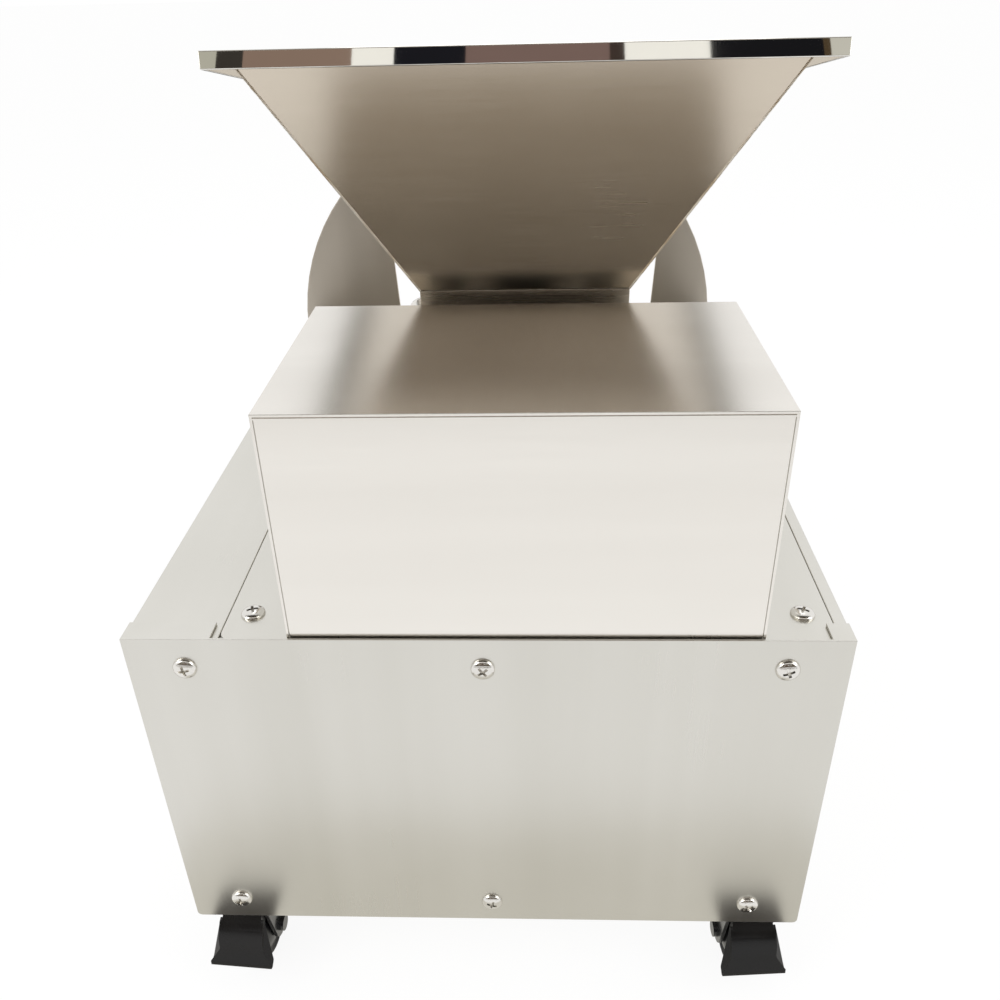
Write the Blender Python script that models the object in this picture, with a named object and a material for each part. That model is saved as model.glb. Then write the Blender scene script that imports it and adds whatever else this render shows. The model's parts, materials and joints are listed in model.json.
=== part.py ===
"""Grape crusher destemmer: a stainless cabinet on castors, with a tilted hopper over two
crushing rollers, a beater in a perforated screen, and a belt and chain drive in front.

Metres, +Z up. The operator's front panel faces -Y and the arched end panel faces +Y.
The finished model stands on z = 0, centred in plan on the origin.
"""
import math

import bpy
import bmesh
from mathutils import Matrix, Vector

# ---- sheet metal and clearances ----
SHEET = 0.0015            # wall of every folded stainless part
END_SHEET = 0.003         # arched end panel
BASE_SHEET = 0.002        # base plate
GAP = 0.0003              # clearance between pieces that touch

# ---- cabinet ----
WIDTH = 0.400
DEPTH = 0.503
HEIGHT = 0.236
SIDE_INSET = 0.0003       # side panels sit this far inside the front panel's edges
CORNER_R = 0.003
FLANGE_H = 0.030          # down-turned and up-turned flanges behind the front panel
STRIP_LEFT = 0.0535       # top flange of the left side panel
STRIP_RIGHT = 0.0075      # top flange of the right side panel
TAB_DEPTH = 0.0155        # folded tabs of the front panel, laid over the strips
TAB_LEFT = 0.0497
TAB_RIGHT = 0.0125
WINDOW_X = 0.019          # middle of the end panel's handle window
WINDOW_HALF = 0.1234      # half its width at the foot
WINDOW_LEAN = 0.056       # how fast its sides spread upward
WINDOW_FOOT = 0.010       # its foot above the cabinet top
WINDOW_BAND = 0.035       # plate left round it under the arch

# ---- machine centreline and drive ----
LINE_X = 0.0222           # hopper, rollers, beater and cover share this line
BULKHEAD_Y = 0.166
COVER_W = 0.260
COVER_D = 0.1592
COVER_Y = 0.0026
COVER_HEADROOM = 0.0056   # inside the cover, above the roller sprocket's chain
COVER_FLANGE_MARGIN = 0.0004  # cover flanges stop this far from the side panels' strips
FLANGE_CORNER_R = 0.006
DRIVE_HOLE_SIDE = 0.012   # deck opening under the cover, in from the cover's sides
DRIVE_HOLE_FRONT = 0.011
DRIVE_HOLE_BACK = 0.006

# ---- roller housing and hopper ----
NECK_D = 0.190
NECK_Y = 0.176
NECK_H = 0.1385           # throat seam at the front, above the cabinet top
NECK_FOOT = 0.015
TILT = math.radians(9.3)  # the hopper leans back by this
FLARE = math.radians(32.6)
HOPPER_RISE = 0.129       # throat plane to mouth plane
COLLAR_Z = 0.098          # foot of the hopper collar, above the cabinet top
RIM_OVERHANG = 0.0105
RIM_LIP = 0.0087

# ---- rollers ----
ROLLER_SPACING = 0.060
ROLLER_NIP = 0.0036       # between facing lobe crests
ROLLER_SIDE = 0.0063      # between a roller and the housing wall beside it
ROLLER_END = 0.0045       # between a roller and the housing wall at its end
ROLLER_LOBES = 8
LOBE_DEPTH = 0.0044
ROLLER_UP = 0.085         # roller axes above the cabinet top
ROLLER_SHAFT_R = 0.008
BUSH_WALL = 0.002
BUSH_FLANGE = 0.004       # how far a bush's flange stands out round its barrel
BUSH_FLANGE_T = 0.003
BUSH_STEPS = 18           # facets of the bushes and of what runs in them
GEAR_TEETH = 20
GEAR_WIDTH = 0.010
GEAR_ADDENDUM = 0.0022
GEAR_DEDENDUM = 0.0032
GEAR_Y = 0.140
CHAIN_PITCH = 0.009525
CHAIN_WIDTH = 0.006
CHAIN_HEIGHT = 0.005
CHAIN_Y = 0.118
ROLLER_SPROCKET_TEETH = 24
BEATER_SPROCKET_TEETH = 12

# ---- beater and screen ----
BEATER_HEADROOM = 0.0129  # between the beater's tips and the deck
SCREEN_CLEAR = 0.010      # between the beater's tips and the screen
BEATER_SHAFT_R = 0.010
FRONT_SPIGOT_WALL = 0.0055
BAR_SPIGOT_WALL = 0.003
BAR_T = 0.005
BAR_HEIGHT = 0.040
BAR_LAP = 0.018           # bearing bar past each side of the stem outlet
BEATER_ARMS = 9
ARM_WIDTH = 0.014
ARM_THICKNESS = 0.006
ARM_STEP = math.radians(80)
TIP_WIDTH = 0.030
TIP_HEIGHT = 0.010
TIP_THICKNESS = 0.010
SCREEN_T = 0.0012
SCREEN_ARC = math.radians(230)
SCREEN_COLUMNS = 9
SCREEN_ROWS = 8
SCREEN_HOLE = 0.62        # open share of each cell's side
STEM_LEDGE = 0.004        # stem outlet's radius is this much less than the screen's

# ---- belt drive and motor ----
PULLEY_BEATER_R = 0.060
PULLEY_MOTOR_R = 0.025
BELT_WIDTH = 0.010
BELT_T = 0.006
BELT_Y = 0.026
PULLEY_FLANGE_T = 0.003
MOTOR_X = -0.115
MOTOR_R = 0.054
MOTOR_FOOT_H = 0.009      # motor body above the base plate
MOTOR_Y0 = 0.062
MOTOR_LENGTH = 0.090
MOTOR_SHAFT_R = 0.007

# ---- must tray, switch and gland ----
TRAY_SLOPE = math.radians(4.0)
TRAY_UP = 0.028           # tray floor above the base plate's underside, at the line
TRAY_WALL = 0.014
TRAY_CLEAR = 0.006        # between the tray's wall and the screen
SPOUT_FROM_END = 0.010    # between the spout and the end panel
SPOUT_WIDTH = 0.090
SPOUT_HEIGHT = 0.032
SIDE_REACH = 0.0228       # how far the spout and the switch box stand out
SWITCH_Y = 0.100
SWITCH_WIDTH = 0.052
SWITCH_HEIGHT = 0.072
SWITCH_DOWN = 0.060       # top of the switch box below the cabinet top
ROCKER_W = 0.014
ROCKER_H = 0.026
ROCKER_SWING = math.radians(7)
SWITCH_WALL = 0.0022
GLAND_R = 0.009
GLAND_SPIGOT_R = 0.006
GLAND_BORE_R = 0.004

# ---- screws ----
HEAD_R = 0.0068
HEAD_H = 0.0036
SHANK_R = 0.0024
SHANK_L = 0.011
SCREW_HOLE_R = 0.0028
FRONT_SCREW_IN = 0.0335   # outer front screws in from the panel's edges
FRONT_SCREW_SHIFT = -0.0007
FRONT_SCREW_TOP = 0.0200
FRONT_SCREW_FOOT = 0.0180
COVER_SCREW_BACK = 0.0231  # cover screws behind the cover's front face
COVER_SCREW_LEFT = 0.0136  # cover screws in from the flanges' outer edges
COVER_SCREW_RIGHT = 0.0146
CAP_R = 0.011
CAP_H = 0.0100
CAP_UP = 0.118            # cap bolt above the cabinet top
CAP_SHANK_R = 0.0030
CAP_HOLE_R = 0.0034

# ---- castors ----
WHEEL_R = 0.025
WHEEL_W = 0.024
WHEEL_CLEAR = 0.0097      # between the wheel and the fork's crown
WHEEL_SIDE = 0.0022       # between the wheel and each fork leg
TRAIL = 0.024
CASTOR_IN_X = 0.029
CASTOR_IN_Y = 0.052
FRONT_CASTOR_TURN = math.radians(4)
REAR_LEFT_TURN = math.radians(14)
REAR_RIGHT_TURN = math.radians(-9)
PLATE_X = 0.046
PLATE_Y = 0.060
PLATE_T = 0.0022
RACE_R = 0.017
RACE_H = 0.005
FORK_T = 0.0025
AXLE_R = 0.004
AXLE_HEAD_R = 0.0055
AXLE_HEAD_T = 0.003
PEDAL_WIDTH = 0.043       # across the tip
PEDAL_WAIST = 0.031       # across the tread above the tip
PEDAL_FLARE_DOWN = 0.021  # tread is at its full width this far below the pin
PEDAL_PIN_R = 0.0025
PEDAL_EYE_WALL = 0.0026
PEDAL_PIN_AHEAD = 0.013   # brake pin past the axle, away from the swivel
PEDAL_PIN_DOWN = 0.004    # brake pin below the fork's crown

# ---- worked-out places ----
BASE_Z = 2 * WHEEL_R + WHEEL_CLEAR + FORK_T + RACE_H + PLATE_T + 2 * GAP
TOP_Z = BASE_Z + HEIGHT
STRIP_TOP = TOP_Z - SHEET - GAP
DECK_TOP = STRIP_TOP - SHEET - GAP
DECK_LOW = DECK_TOP - SHEET
FLOOR_TOP = BASE_Z + BASE_SHEET
SIDE_OUT = WIDTH / 2 - SIDE_INSET
SIDE_IN = SIDE_OUT - SHEET
INSIDE_X = SIDE_IN - GAP
FRONT_BACK = SHEET + GAP
END_Y = DEPTH - END_SHEET
COVER_LEFT = LINE_X - COVER_W / 2
COVER_RIGHT = LINE_X + COVER_W / 2
COVER_FOOT = DECK_TOP + GAP
FLANGE_LEFT = -WIDTH / 2 + STRIP_LEFT + COVER_FLANGE_MARGIN
FLANGE_RIGHT = WIDTH / 2 - STRIP_RIGHT - COVER_FLANGE_MARGIN
ROLLER_R = (ROLLER_SPACING - ROLLER_NIP) / 2
NECK_W = ROLLER_SPACING + 2 * (ROLLER_R + ROLLER_SIDE + SHEET)
NECK_BACK = NECK_Y + NECK_D
ROLLER_Z = TOP_Z + ROLLER_UP
ROLLER_X = (LINE_X - ROLLER_SPACING / 2, LINE_X + ROLLER_SPACING / 2)
ROLLER_Y0 = NECK_Y + SHEET + ROLLER_END
ROLLER_Y1 = NECK_BACK - SHEET - ROLLER_END
BUSH_R = ROLLER_SHAFT_R + BUSH_WALL
GEAR_R = ROLLER_SPACING / 2
TRAY_RIM = BASE_Z + TRAY_UP + TRAY_WALL
BEATER_R = (DECK_LOW - BEATER_HEADROOM - TRAY_RIM - TRAY_CLEAR - SCREEN_CLEAR) / 2
SCREEN_R = BEATER_R + SCREEN_CLEAR
BEATER_Z = TRAY_RIM + TRAY_CLEAR + SCREEN_R
STEM_HOLE_R = SCREEN_R - STEM_LEDGE
FRONT_SPIGOT_R = BEATER_SHAFT_R + FRONT_SPIGOT_WALL
BAR_SPIGOT_R = BEATER_SHAFT_R + BAR_SPIGOT_WALL
MOTOR_Z = FLOOR_TOP + MOTOR_FOOT_H + MOTOR_R
SPOUT_Y = END_Y - SPOUT_FROM_END - SPOUT_WIDTH


def clear_scene():
    for item in list(bpy.data.objects):
        bpy.data.objects.remove(item)


def finish_material(name, color, roughness, metallic):
    material = bpy.data.materials.new(name)
    material.use_nodes = True
    shader = material.node_tree.nodes["Principled BSDF"]
    shader.inputs["Base Color"].default_value = (*color, 1.0)
    shader.inputs["Roughness"].default_value = roughness
    shader.inputs["Metallic"].default_value = metallic
    return material


def body_from(bm):
    """Turn a bmesh into an object with its faces pointing out."""
    bmesh.ops.recalc_face_normals(bm, faces=bm.faces)
    mesh = bpy.data.meshes.new("shape")
    bm.to_mesh(mesh)
    bm.free()
    body = bpy.data.objects.new("shape", mesh)
    bpy.context.scene.collection.objects.link(body)
    return body


def prism(outline, axis, low, high):
    """Extrude a closed outline of 2-D points along X, Y or Z."""
    place = {
        "X": lambda a, b, along: (along, a, b),
        "Y": lambda a, b, along: (a, along, b),
        "Z": lambda a, b, along: (a, b, along),
    }[axis]
    bm = bmesh.new()
    near = [bm.verts.new(place(a, b, low)) for a, b in outline]
    far = [bm.verts.new(place(a, b, high)) for a, b in outline]
    bm.faces.new(near)
    bm.faces.new(list(reversed(far)))
    for i in range(len(outline)):
        j = (i + 1) % len(outline)
        bm.faces.new((near[i], far[i], far[j], near[j]))
    return body_from(bm)


def block(low, high):
    outline = [(low[0], low[1]), (high[0], low[1]), (high[0], high[1]), (low[0], high[1])]
    return prism(outline, "Z", low[2], high[2])


def loft(loops, closed=False):
    """Skin a stack of equal loops of 3-D points, capped at its ends unless it closes."""
    bm = bmesh.new()
    rings = [[bm.verts.new(point) for point in loop] for loop in loops]
    pairs = list(zip(rings, rings[1:]))
    if closed:
        pairs.append((rings[-1], rings[0]))
    else:
        bm.faces.new(rings[0])
        bm.faces.new(list(reversed(rings[-1])))
    for lower, upper in pairs:
        for i in range(len(lower)):
            j = (i + 1) % len(lower)
            bm.faces.new((lower[i], lower[j], upper[j], upper[i]))
    return body_from(bm)


def turned(profile, centre, axis, steps=24):
    """Turn a profile of (radius, along) points about an axis through centre.

    A profile that starts and ends on the axis gives a plain shape, any other closes
    on itself and gives a ring.
    """
    bore = profile[0][0] > 0
    frames = {
        "X": lambda c, s, along: (along, c, s),
        "Y": lambda c, s, along: (s, along, c),
        "Z": lambda c, s, along: (c, s, along),
    }
    bm = bmesh.new()
    rings = []
    for radius, along in profile:
        count = steps if radius > 0 else 1
        ring = []
        for i in range(count):
            angle = 2 * math.pi * i / steps
            spot = frames[axis](radius * math.cos(angle), radius * math.sin(angle), along)
            ring.append(bm.verts.new(Vector(centre) + Vector(spot)))
        rings.append(ring)
    pairs = list(zip(rings, rings[1:]))
    if bore:
        pairs.append((rings[-1], rings[0]))
    for lower, upper in pairs:
        for i in range(steps):
            j = (i + 1) % steps
            if len(lower) == 1:
                bm.faces.new((lower[0], upper[j], upper[i]))
            elif len(upper) == 1:
                bm.faces.new((lower[i], lower[j], upper[0]))
            else:
                bm.faces.new((lower[i], lower[j], upper[j], upper[i]))
    return body_from(bm)


def rod(centre, axis, radius, low, high, steps=24):
    return turned([(0, low), (radius, low), (radius, high), (0, high)], centre, axis, steps)


def combine(body, tool, operation):
    modifier = body.modifiers.new("combine", "BOOLEAN")
    modifier.operation = operation
    modifier.object = tool
    bpy.context.view_layer.update()
    graph = bpy.context.evaluated_depsgraph_get()
    body.data = bpy.data.meshes.new_from_object(body.evaluated_get(graph))
    body.modifiers.clear()
    bpy.data.objects.remove(tool)


def cut(body, *tools):
    for tool in tools:
        combine(body, tool, "DIFFERENCE")
    return body


def weld(body, *others):
    for other in others:
        combine(body, other, "UNION")
    return body


def turn(body, angle, axis, pivot):
    """Turn a shape about a line through pivot, in its mesh."""
    around = Matrix.Translation(pivot) @ Matrix.Rotation(angle, 4, axis)
    body.data.transform(around @ Matrix.Translation(-Vector(pivot)))
    return body


def add(name, body, material, origin=(0, 0, 0)):
    """Name a finished sub-part, give it its material and set its origin."""
    body.name = name
    body.data.name = name
    body.data.materials.clear()
    body.data.materials.append(material)
    body.data.transform(Matrix.Translation(-Vector(origin)))
    body.location = origin
    body.data.shade_smooth()
    body.data.set_sharp_from_angle(angle=math.radians(32))
    return body


def arc(centre, radius, start, end, steps):
    """Points of a circular arc, with its ends, from start to end in degrees."""
    points = []
    for i in range(steps + 1):
        angle = math.radians(start + (end - start) * i / steps)
        points.append((centre[0] + radius * math.cos(angle), centre[1] + radius * math.sin(angle)))
    return points


def rectangle(left, right, low, high):
    return [(left, low), (right, low), (right, high), (left, high)]


# ---------------------------------------------------------------- cabinet

def front_screw_places():
    reach = WIDTH / 2 - FRONT_SCREW_IN
    for z in (TOP_Z - FRONT_SCREW_TOP, BASE_Z + FRONT_SCREW_FOOT):
        for x in (-reach, 0, reach):
            yield x + FRONT_SCREW_SHIFT, z


def make_front_panel():
    half = WIDTH / 2
    r = CORNER_R
    outline = [(-half, TOP_Z)]
    outline += arc((-half + r, BASE_Z + r), r, 180, 270, 3)
    outline += arc((half - r, BASE_Z + r), r, 270, 360, 3)
    outline += [(half, TOP_Z)]
    panel = prism(outline, "Y", 0, SHEET)
    left = -half + TAB_LEFT
    right = half - TAB_RIGHT
    overlap = SHEET / 2
    tab_left = [(-half, overlap), (left, overlap), (left, TAB_DEPTH), (-half, TAB_DEPTH)]
    tab_right = [(right, overlap), (half, overlap), (half, TAB_DEPTH), (right, TAB_DEPTH)]
    for tab in (tab_left, tab_right):
        weld(panel, prism(tab, "Z", TOP_Z - SHEET, TOP_Z))
    for x, z in front_screw_places():
        cut(panel, rod((x, 0, z), "Y", SCREW_HOLE_R, -0.01, 0.01, 12))
    add("front_panel", panel, STAINLESS)


def make_side_panels():
    y0 = FRONT_BACK
    y1 = END_Y - GAP
    left_edge = -WIDTH / 2 + STRIP_LEFT
    left = [(-SIDE_OUT, BASE_Z), (-SIDE_IN, BASE_Z), (-SIDE_IN, STRIP_TOP - SHEET),
            (left_edge, STRIP_TOP - SHEET), (left_edge, STRIP_TOP), (-SIDE_OUT, STRIP_TOP)]
    add("left_side_panel", prism(left, "Y", y0, y1), STAINLESS)
    right_edge = WIDTH / 2 - STRIP_RIGHT
    right = [(SIDE_OUT, BASE_Z), (SIDE_IN, BASE_Z), (SIDE_IN, STRIP_TOP - SHEET),
             (right_edge, STRIP_TOP - SHEET), (right_edge, STRIP_TOP), (SIDE_OUT, STRIP_TOP)]
    panel = prism(right, "Y", y0, y1)
    low, high = spout_span()
    margin = SHEET + GAP
    window = block((SIDE_IN - 0.01, SPOUT_Y - margin, low),
                   (SIDE_OUT + 0.01, SPOUT_Y + SPOUT_WIDTH + margin, high))
    add("right_side_panel", cut(panel, window), STAINLESS)


def make_end_panel():
    """Arched plate: stem outlet below, and a wide window that makes the arch a handle."""
    half = WIDTH / 2
    outline = [(-half, BASE_Z), (half, BASE_Z)] + arc((0, TOP_Z), half, 0, 180, 36)
    panel = prism(outline, "Y", END_Y, DEPTH)
    foot = TOP_Z + WINDOW_FOOT
    crown = TOP_Z + half
    spread = WINDOW_HALF + WINDOW_LEAN * (crown - foot)
    sides = [(WINDOW_X - WINDOW_HALF, foot), (WINDOW_X + WINDOW_HALF, foot),
             (WINDOW_X + spread, crown), (WINDOW_X - spread, crown)]
    opening = prism(sides, "Y", END_Y - 0.01, DEPTH + 0.01)
    disc = rod((0, 0, TOP_Z), "Y", half - WINDOW_BAND, END_Y - 0.02, DEPTH + 0.02, 48)
    combine(opening, disc, "INTERSECT")
    cut(panel, opening)
    cut(panel, rod((LINE_X, 0, BEATER_Z), "Y", STEM_HOLE_R, END_Y - 0.01, DEPTH + 0.01, 36))
    add("rear_end_panel", panel, STAINLESS)


def make_deck_plate():
    y0 = FRONT_BACK
    y1 = END_Y - GAP
    low = DECK_TOP - FLANGE_H
    rear_low = BEATER_Z + STEM_HOLE_R + 0.001
    section = [(y0, low), (y0 + SHEET, low), (y0 + SHEET, DECK_LOW), (y1 - SHEET, DECK_LOW),
               (y1 - SHEET, rear_low), (y1, rear_low), (y1, DECK_TOP), (y0, DECK_TOP)]
    deck = prism(section, "X", -INSIDE_X, INSIDE_X)
    drive_back = COVER_Y + COVER_D - DRIVE_HOLE_BACK
    drive = block((COVER_LEFT + DRIVE_HOLE_SIDE, COVER_Y + DRIVE_HOLE_FRONT, DECK_LOW - 0.01),
                  (COVER_RIGHT - DRIVE_HOLE_SIDE, drive_back, DECK_TOP + 0.01))
    feed = block((LINE_X - NECK_W / 2 + SHEET, NECK_Y + SHEET, DECK_LOW - 0.01),
                 (LINE_X + NECK_W / 2 - SHEET, NECK_BACK - SHEET, DECK_TOP + 0.01))
    cut(deck, drive, feed)
    for x, z in front_screw_places():
        if z > low:
            cut(deck, rod((x, 0, z), "Y", SCREW_HOLE_R, -0.01, 0.01, 12))
    for x, y in cover_screw_places():
        cut(deck, rod((x, y, 0), "Z", SCREW_HOLE_R, DECK_LOW - 0.01, DECK_TOP + 0.01, 12))
    add("deck_plate", deck, STAINLESS)


def make_base_plate():
    y0 = FRONT_BACK
    y1 = END_Y - GAP
    high = BASE_Z + FLANGE_H
    section = [(y0, BASE_Z), (y1, BASE_Z), (y1, high), (y1 - SHEET, high), (y1 - SHEET, FLOOR_TOP),
               (y0 + SHEET, FLOOR_TOP), (y0 + SHEET, high), (y0, high)]
    base = prism(section, "X", -INSIDE_X, INSIDE_X)
    for x, z in front_screw_places():
        if z < high:
            cut(base, rod((x, 0, z), "Y", SCREW_HOLE_R, -0.01, 0.01, 12))
    add("base_plate", base, STAINLESS)


def make_bulkhead():
    """Wall between the drive and the juice side; it carries the beater's front bearing."""
    plate = block((-INSIDE_X, BULKHEAD_Y, FLOOR_TOP + GAP), (INSIDE_X, BULKHEAD_Y + SHEET, DECK_LOW - GAP))
    cut(plate, rod((LINE_X, BULKHEAD_Y, BEATER_Z), "Y", FRONT_SPIGOT_R + GAP, -0.01, 0.01))
    add("bulkhead", plate, STAINLESS)


# ---------------------------------------------------------------- drive cover

def cover_screw_places():
    y = COVER_Y + COVER_SCREW_BACK
    yield FLANGE_LEFT + COVER_SCREW_LEFT, y
    yield FLANGE_RIGHT - COVER_SCREW_RIGHT, y


def make_drive_cover():
    """Folded five-sided box, open below, with an out-turned flange on each side."""
    y0 = COVER_Y
    y1 = COVER_Y + COVER_D
    inside_top = ROLLER_Z + sprocket_r(ROLLER_SPROCKET_TEETH) + CHAIN_HEIGHT + COVER_HEADROOM
    cover = block((COVER_LEFT, y0, COVER_FOOT), (COVER_RIGHT, y1, inside_top + SHEET))
    cut(cover, block((COVER_LEFT + SHEET, y0 + SHEET, COVER_FOOT - 0.01),
                     (COVER_RIGHT - SHEET, y1 - SHEET, inside_top)))
    r = FLANGE_CORNER_R
    for side, edge, outer in ((-1, COVER_LEFT, FLANGE_LEFT), (1, COVER_RIGHT, FLANGE_RIGHT)):
        inner = edge - side * SHEET / 2
        corner = arc((outer - side * r, y0 + r), r, 270, 270 + side * 90, 4)
        flange = [(inner, y0)] + corner + [(outer, y1), (inner, y1)]
        weld(cover, prism(flange, "Z", COVER_FOOT, COVER_FOOT + SHEET))
    for x, y in cover_screw_places():
        cut(cover, rod((x, y, COVER_FOOT), "Z", SCREW_HOLE_R, -0.01, 0.01, 12))
    reach = BUSH_R + 0.002
    for x in ROLLER_X:
        slot = rectangle(x - reach, x + reach, COVER_FOOT - 0.01, ROLLER_Z + reach)
        cut(cover, prism(slot, "Y", y1 - 2 * SHEET, y1 + SHEET))
    add("drive_cover", cover, STAINLESS)


# ---------------------------------------------------------------- hopper

def hopper_point(x, v, n):
    """A point in the hopper's tilted frame: v runs back along the seam plane, n leaves it."""
    y = NECK_Y + v * math.cos(TILT) + n * math.sin(TILT)
    z = TOP_Z + NECK_H - v * math.sin(TILT) + n * math.cos(TILT)
    return LINE_X + x, y, z


def tilted_loop(half, v0, v1, n):
    return [hopper_point(-half, v0, n), hopper_point(half, v0, n),
            hopper_point(half, v1, n), hopper_point(-half, v1, n)]


def seam_z(y):
    return TOP_Z + NECK_H - (y - NECK_Y) * math.tan(TILT)


def neck_corners(inset):
    half = NECK_W / 2 - inset
    y0 = NECK_Y + inset
    y1 = NECK_BACK - inset
    return [(LINE_X - half, y0), (LINE_X + half, y0), (LINE_X + half, y1), (LINE_X - half, y1)]


def level_loop(inset, z):
    """The neck's rectangle, inset on all sides, level at z."""
    return [(x, y, z) for x, y in neck_corners(inset)]


def seam_loop(inset, drop=0.0):
    """The neck's rectangle cut along the tilted seam, or along a plane dropped from it."""
    return [(x, y, seam_z(y) - drop) for x, y in neck_corners(inset)]


def mouth(inset=0.0):
    grow = HOPPER_RISE * math.tan(FLARE) - inset
    return NECK_W / 2 + grow, -grow, NECK_D / math.cos(TILT) + grow


def make_hopper():
    wall = SHEET / math.cos(FLARE)
    collar_z = TOP_Z + COLLAR_Z
    outer = SHEET + GAP
    inner = outer + SHEET
    half, v0, v1 = mouth()
    half_in, v0_in, v1_in = mouth(wall)
    loops = [level_loop(outer, collar_z), seam_loop(outer), seam_loop(0),
             tilted_loop(half, v0, v1, HOPPER_RISE), tilted_loop(half_in, v0_in, v1_in, HOPPER_RISE),
             seam_loop(inner), level_loop(inner, collar_z)]
    hopper = loft(loops, closed=True)
    cut(hopper, rod(cap_bolt_place(), "X", CAP_HOLE_R, -0.002, 0.008, 12))
    add("hopper", hopper, STAINLESS)


def make_hopper_rim():
    """Mirror-polished angle frame on the mouth: a flat flange with a down-turned lip."""
    half_in, v0_in, v1_in = mouth(SHEET / math.cos(FLARE))
    half, v0, v1 = mouth(-RIM_OVERHANG)
    under = HOPPER_RISE + GAP
    top = under + SHEET
    foot = top - RIM_LIP
    t = SHEET
    loops = [tilted_loop(half_in, v0_in, v1_in, top), tilted_loop(half, v0, v1, top),
             tilted_loop(half, v0, v1, foot), tilted_loop(half - t, v0 + t, v1 - t, foot),
             tilted_loop(half - t, v0 + t, v1 - t, under), tilted_loop(half_in, v0_in, v1_in, under)]
    add("hopper_rim", loft(loops, closed=True), POLISHED)


def make_roller_housing():
    """Upright rectangular duct round the rollers, with side feet on the deck."""
    foot = DECK_TOP + GAP
    loops = [level_loop(0, foot), seam_loop(0, GAP), seam_loop(SHEET, GAP), level_loop(SHEET, foot)]
    housing = loft(loops, closed=True)
    for side in (-1, 1):
        edge = LINE_X + side * NECK_W / 2
        low, high = sorted((edge - side * SHEET / 2, edge + side * NECK_FOOT))
        weld(housing, block((low, NECK_Y, foot), (high, NECK_BACK, foot + SHEET)))
    for x in ROLLER_X:
        for wall in (NECK_Y, NECK_BACK):
            cut(housing, rod((x, wall, ROLLER_Z), "Y", BUSH_R + GAP, -0.01, 0.01, BUSH_STEPS))
    cut(housing, rod(cap_bolt_place(), "X", CAP_HOLE_R, -0.008, 0.008, 12))
    add("roller_housing", housing, STAINLESS)


def cap_bolt_place():
    return LINE_X - NECK_W / 2, NECK_Y + CAP_R + 0.003, TOP_Z + CAP_UP


def make_cap_bolt():
    """Domed bolt through the housing wall and the hopper collar."""
    face = -GAP
    shank_end = 2 * SHEET + 0.003
    profile = [(0, face - CAP_H), (CAP_R * 0.42, face - CAP_H * 0.93), (CAP_R * 0.76, face - CAP_H * 0.68),
               (CAP_R * 0.95, face - CAP_H * 0.36), (CAP_R, face), (CAP_SHANK_R, face),
               (CAP_SHANK_R, shank_end), (0, shank_end)]
    add("neck_cap_bolt", turned(profile, cap_bolt_place(), "X", 20), BRIGHT)


# ---------------------------------------------------------------- rollers and gears

def lobed_outline(centre, outer, valley, lobes, crest, root, phase=0.0):
    """Outline of straight-flanked lobes; crest and root are half-widths in degrees."""
    points = []
    pitch = 360 / lobes
    for i in range(lobes):
        middle = phase + i * pitch
        for radius, offset in ((valley, -root), (outer, -crest), (outer, crest), (valley, root)):
            angle = math.radians(middle + offset)
            points.append((centre[0] + radius * math.cos(angle), centre[1] + radius * math.sin(angle)))
    return points


def make_rollers():
    front = {"left": GEAR_Y - 0.004, "right": CHAIN_Y - 0.004}
    for name, x in zip(("left", "right"), ROLLER_X):
        outline = lobed_outline((x, ROLLER_Z), ROLLER_R, ROLLER_R - LOBE_DEPTH, ROLLER_LOBES, 7, 15)
        roller = prism(outline, "Y", ROLLER_Y0, ROLLER_Y1)
        shaft_back = NECK_BACK + BUSH_FLANGE_T + 0.004
        weld(roller, rod((x, 0, ROLLER_Z), "Y", ROLLER_SHAFT_R, front[name], shaft_back, BUSH_STEPS))
        add("crush_roller_" + name, roller, ROLLER_METAL, (x, ROLLER_Y0, ROLLER_Z))


def make_roller_bushes():
    for side, x in zip(("left", "right"), ROLLER_X):
        for end, wall, out in (("front", NECK_Y, -1), ("rear", NECK_BACK, 1)):
            inside = wall - out * (SHEET + 0.002)
            seat = wall + out * GAP
            face = seat + out * BUSH_FLANGE_T
            bore = ROLLER_SHAFT_R + GAP
            flange_r = BUSH_R + BUSH_FLANGE
            profile = [(bore, inside), (BUSH_R, inside), (BUSH_R, seat), (flange_r, seat),
                       (flange_r, face), (bore, face)]
            bush = turned(profile, (x, 0, ROLLER_Z), "Y", BUSH_STEPS)
            add("roller_bush_" + end + "_" + side, bush, NYLON)


def make_roller_gears():
    phase = {"left": 0.0, "right": 180.0 / GEAR_TEETH}
    pitch = 360 / GEAR_TEETH
    for name, x in zip(("left", "right"), ROLLER_X):
        outline = lobed_outline((x, ROLLER_Z), GEAR_R + GEAR_ADDENDUM, GEAR_R - GEAR_DEDENDUM,
                                GEAR_TEETH, pitch * 0.13, pitch * 0.31, phase[name])
        gear = prism(outline, "Y", GEAR_Y, GEAR_Y + GEAR_WIDTH)
        bore = rod((x, 0, ROLLER_Z), "Y", ROLLER_SHAFT_R + GAP, GEAR_Y - 0.01, GEAR_Y + 0.02, BUSH_STEPS)
        cut(gear, bore)
        add("roller_gear_" + name, gear, STEEL, (x, GEAR_Y, ROLLER_Z))


# ---------------------------------------------------------------- chain and belt

def loop_outline(first, r1, second, r2, steps=10):
    """Outline of a band round two circles: two arcs and the outer tangents between them."""
    dx = second[0] - first[0]
    dz = second[1] - first[1]
    lean = math.acos((r1 - r2) / math.hypot(dx, dz))
    line = math.degrees(math.atan2(dz, dx))
    spread = math.degrees(lean)
    return (arc(first, r1, line + spread, line + 360 - spread, 2 * steps)
            + arc(second, r2, line - spread, line + spread, steps))


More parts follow.
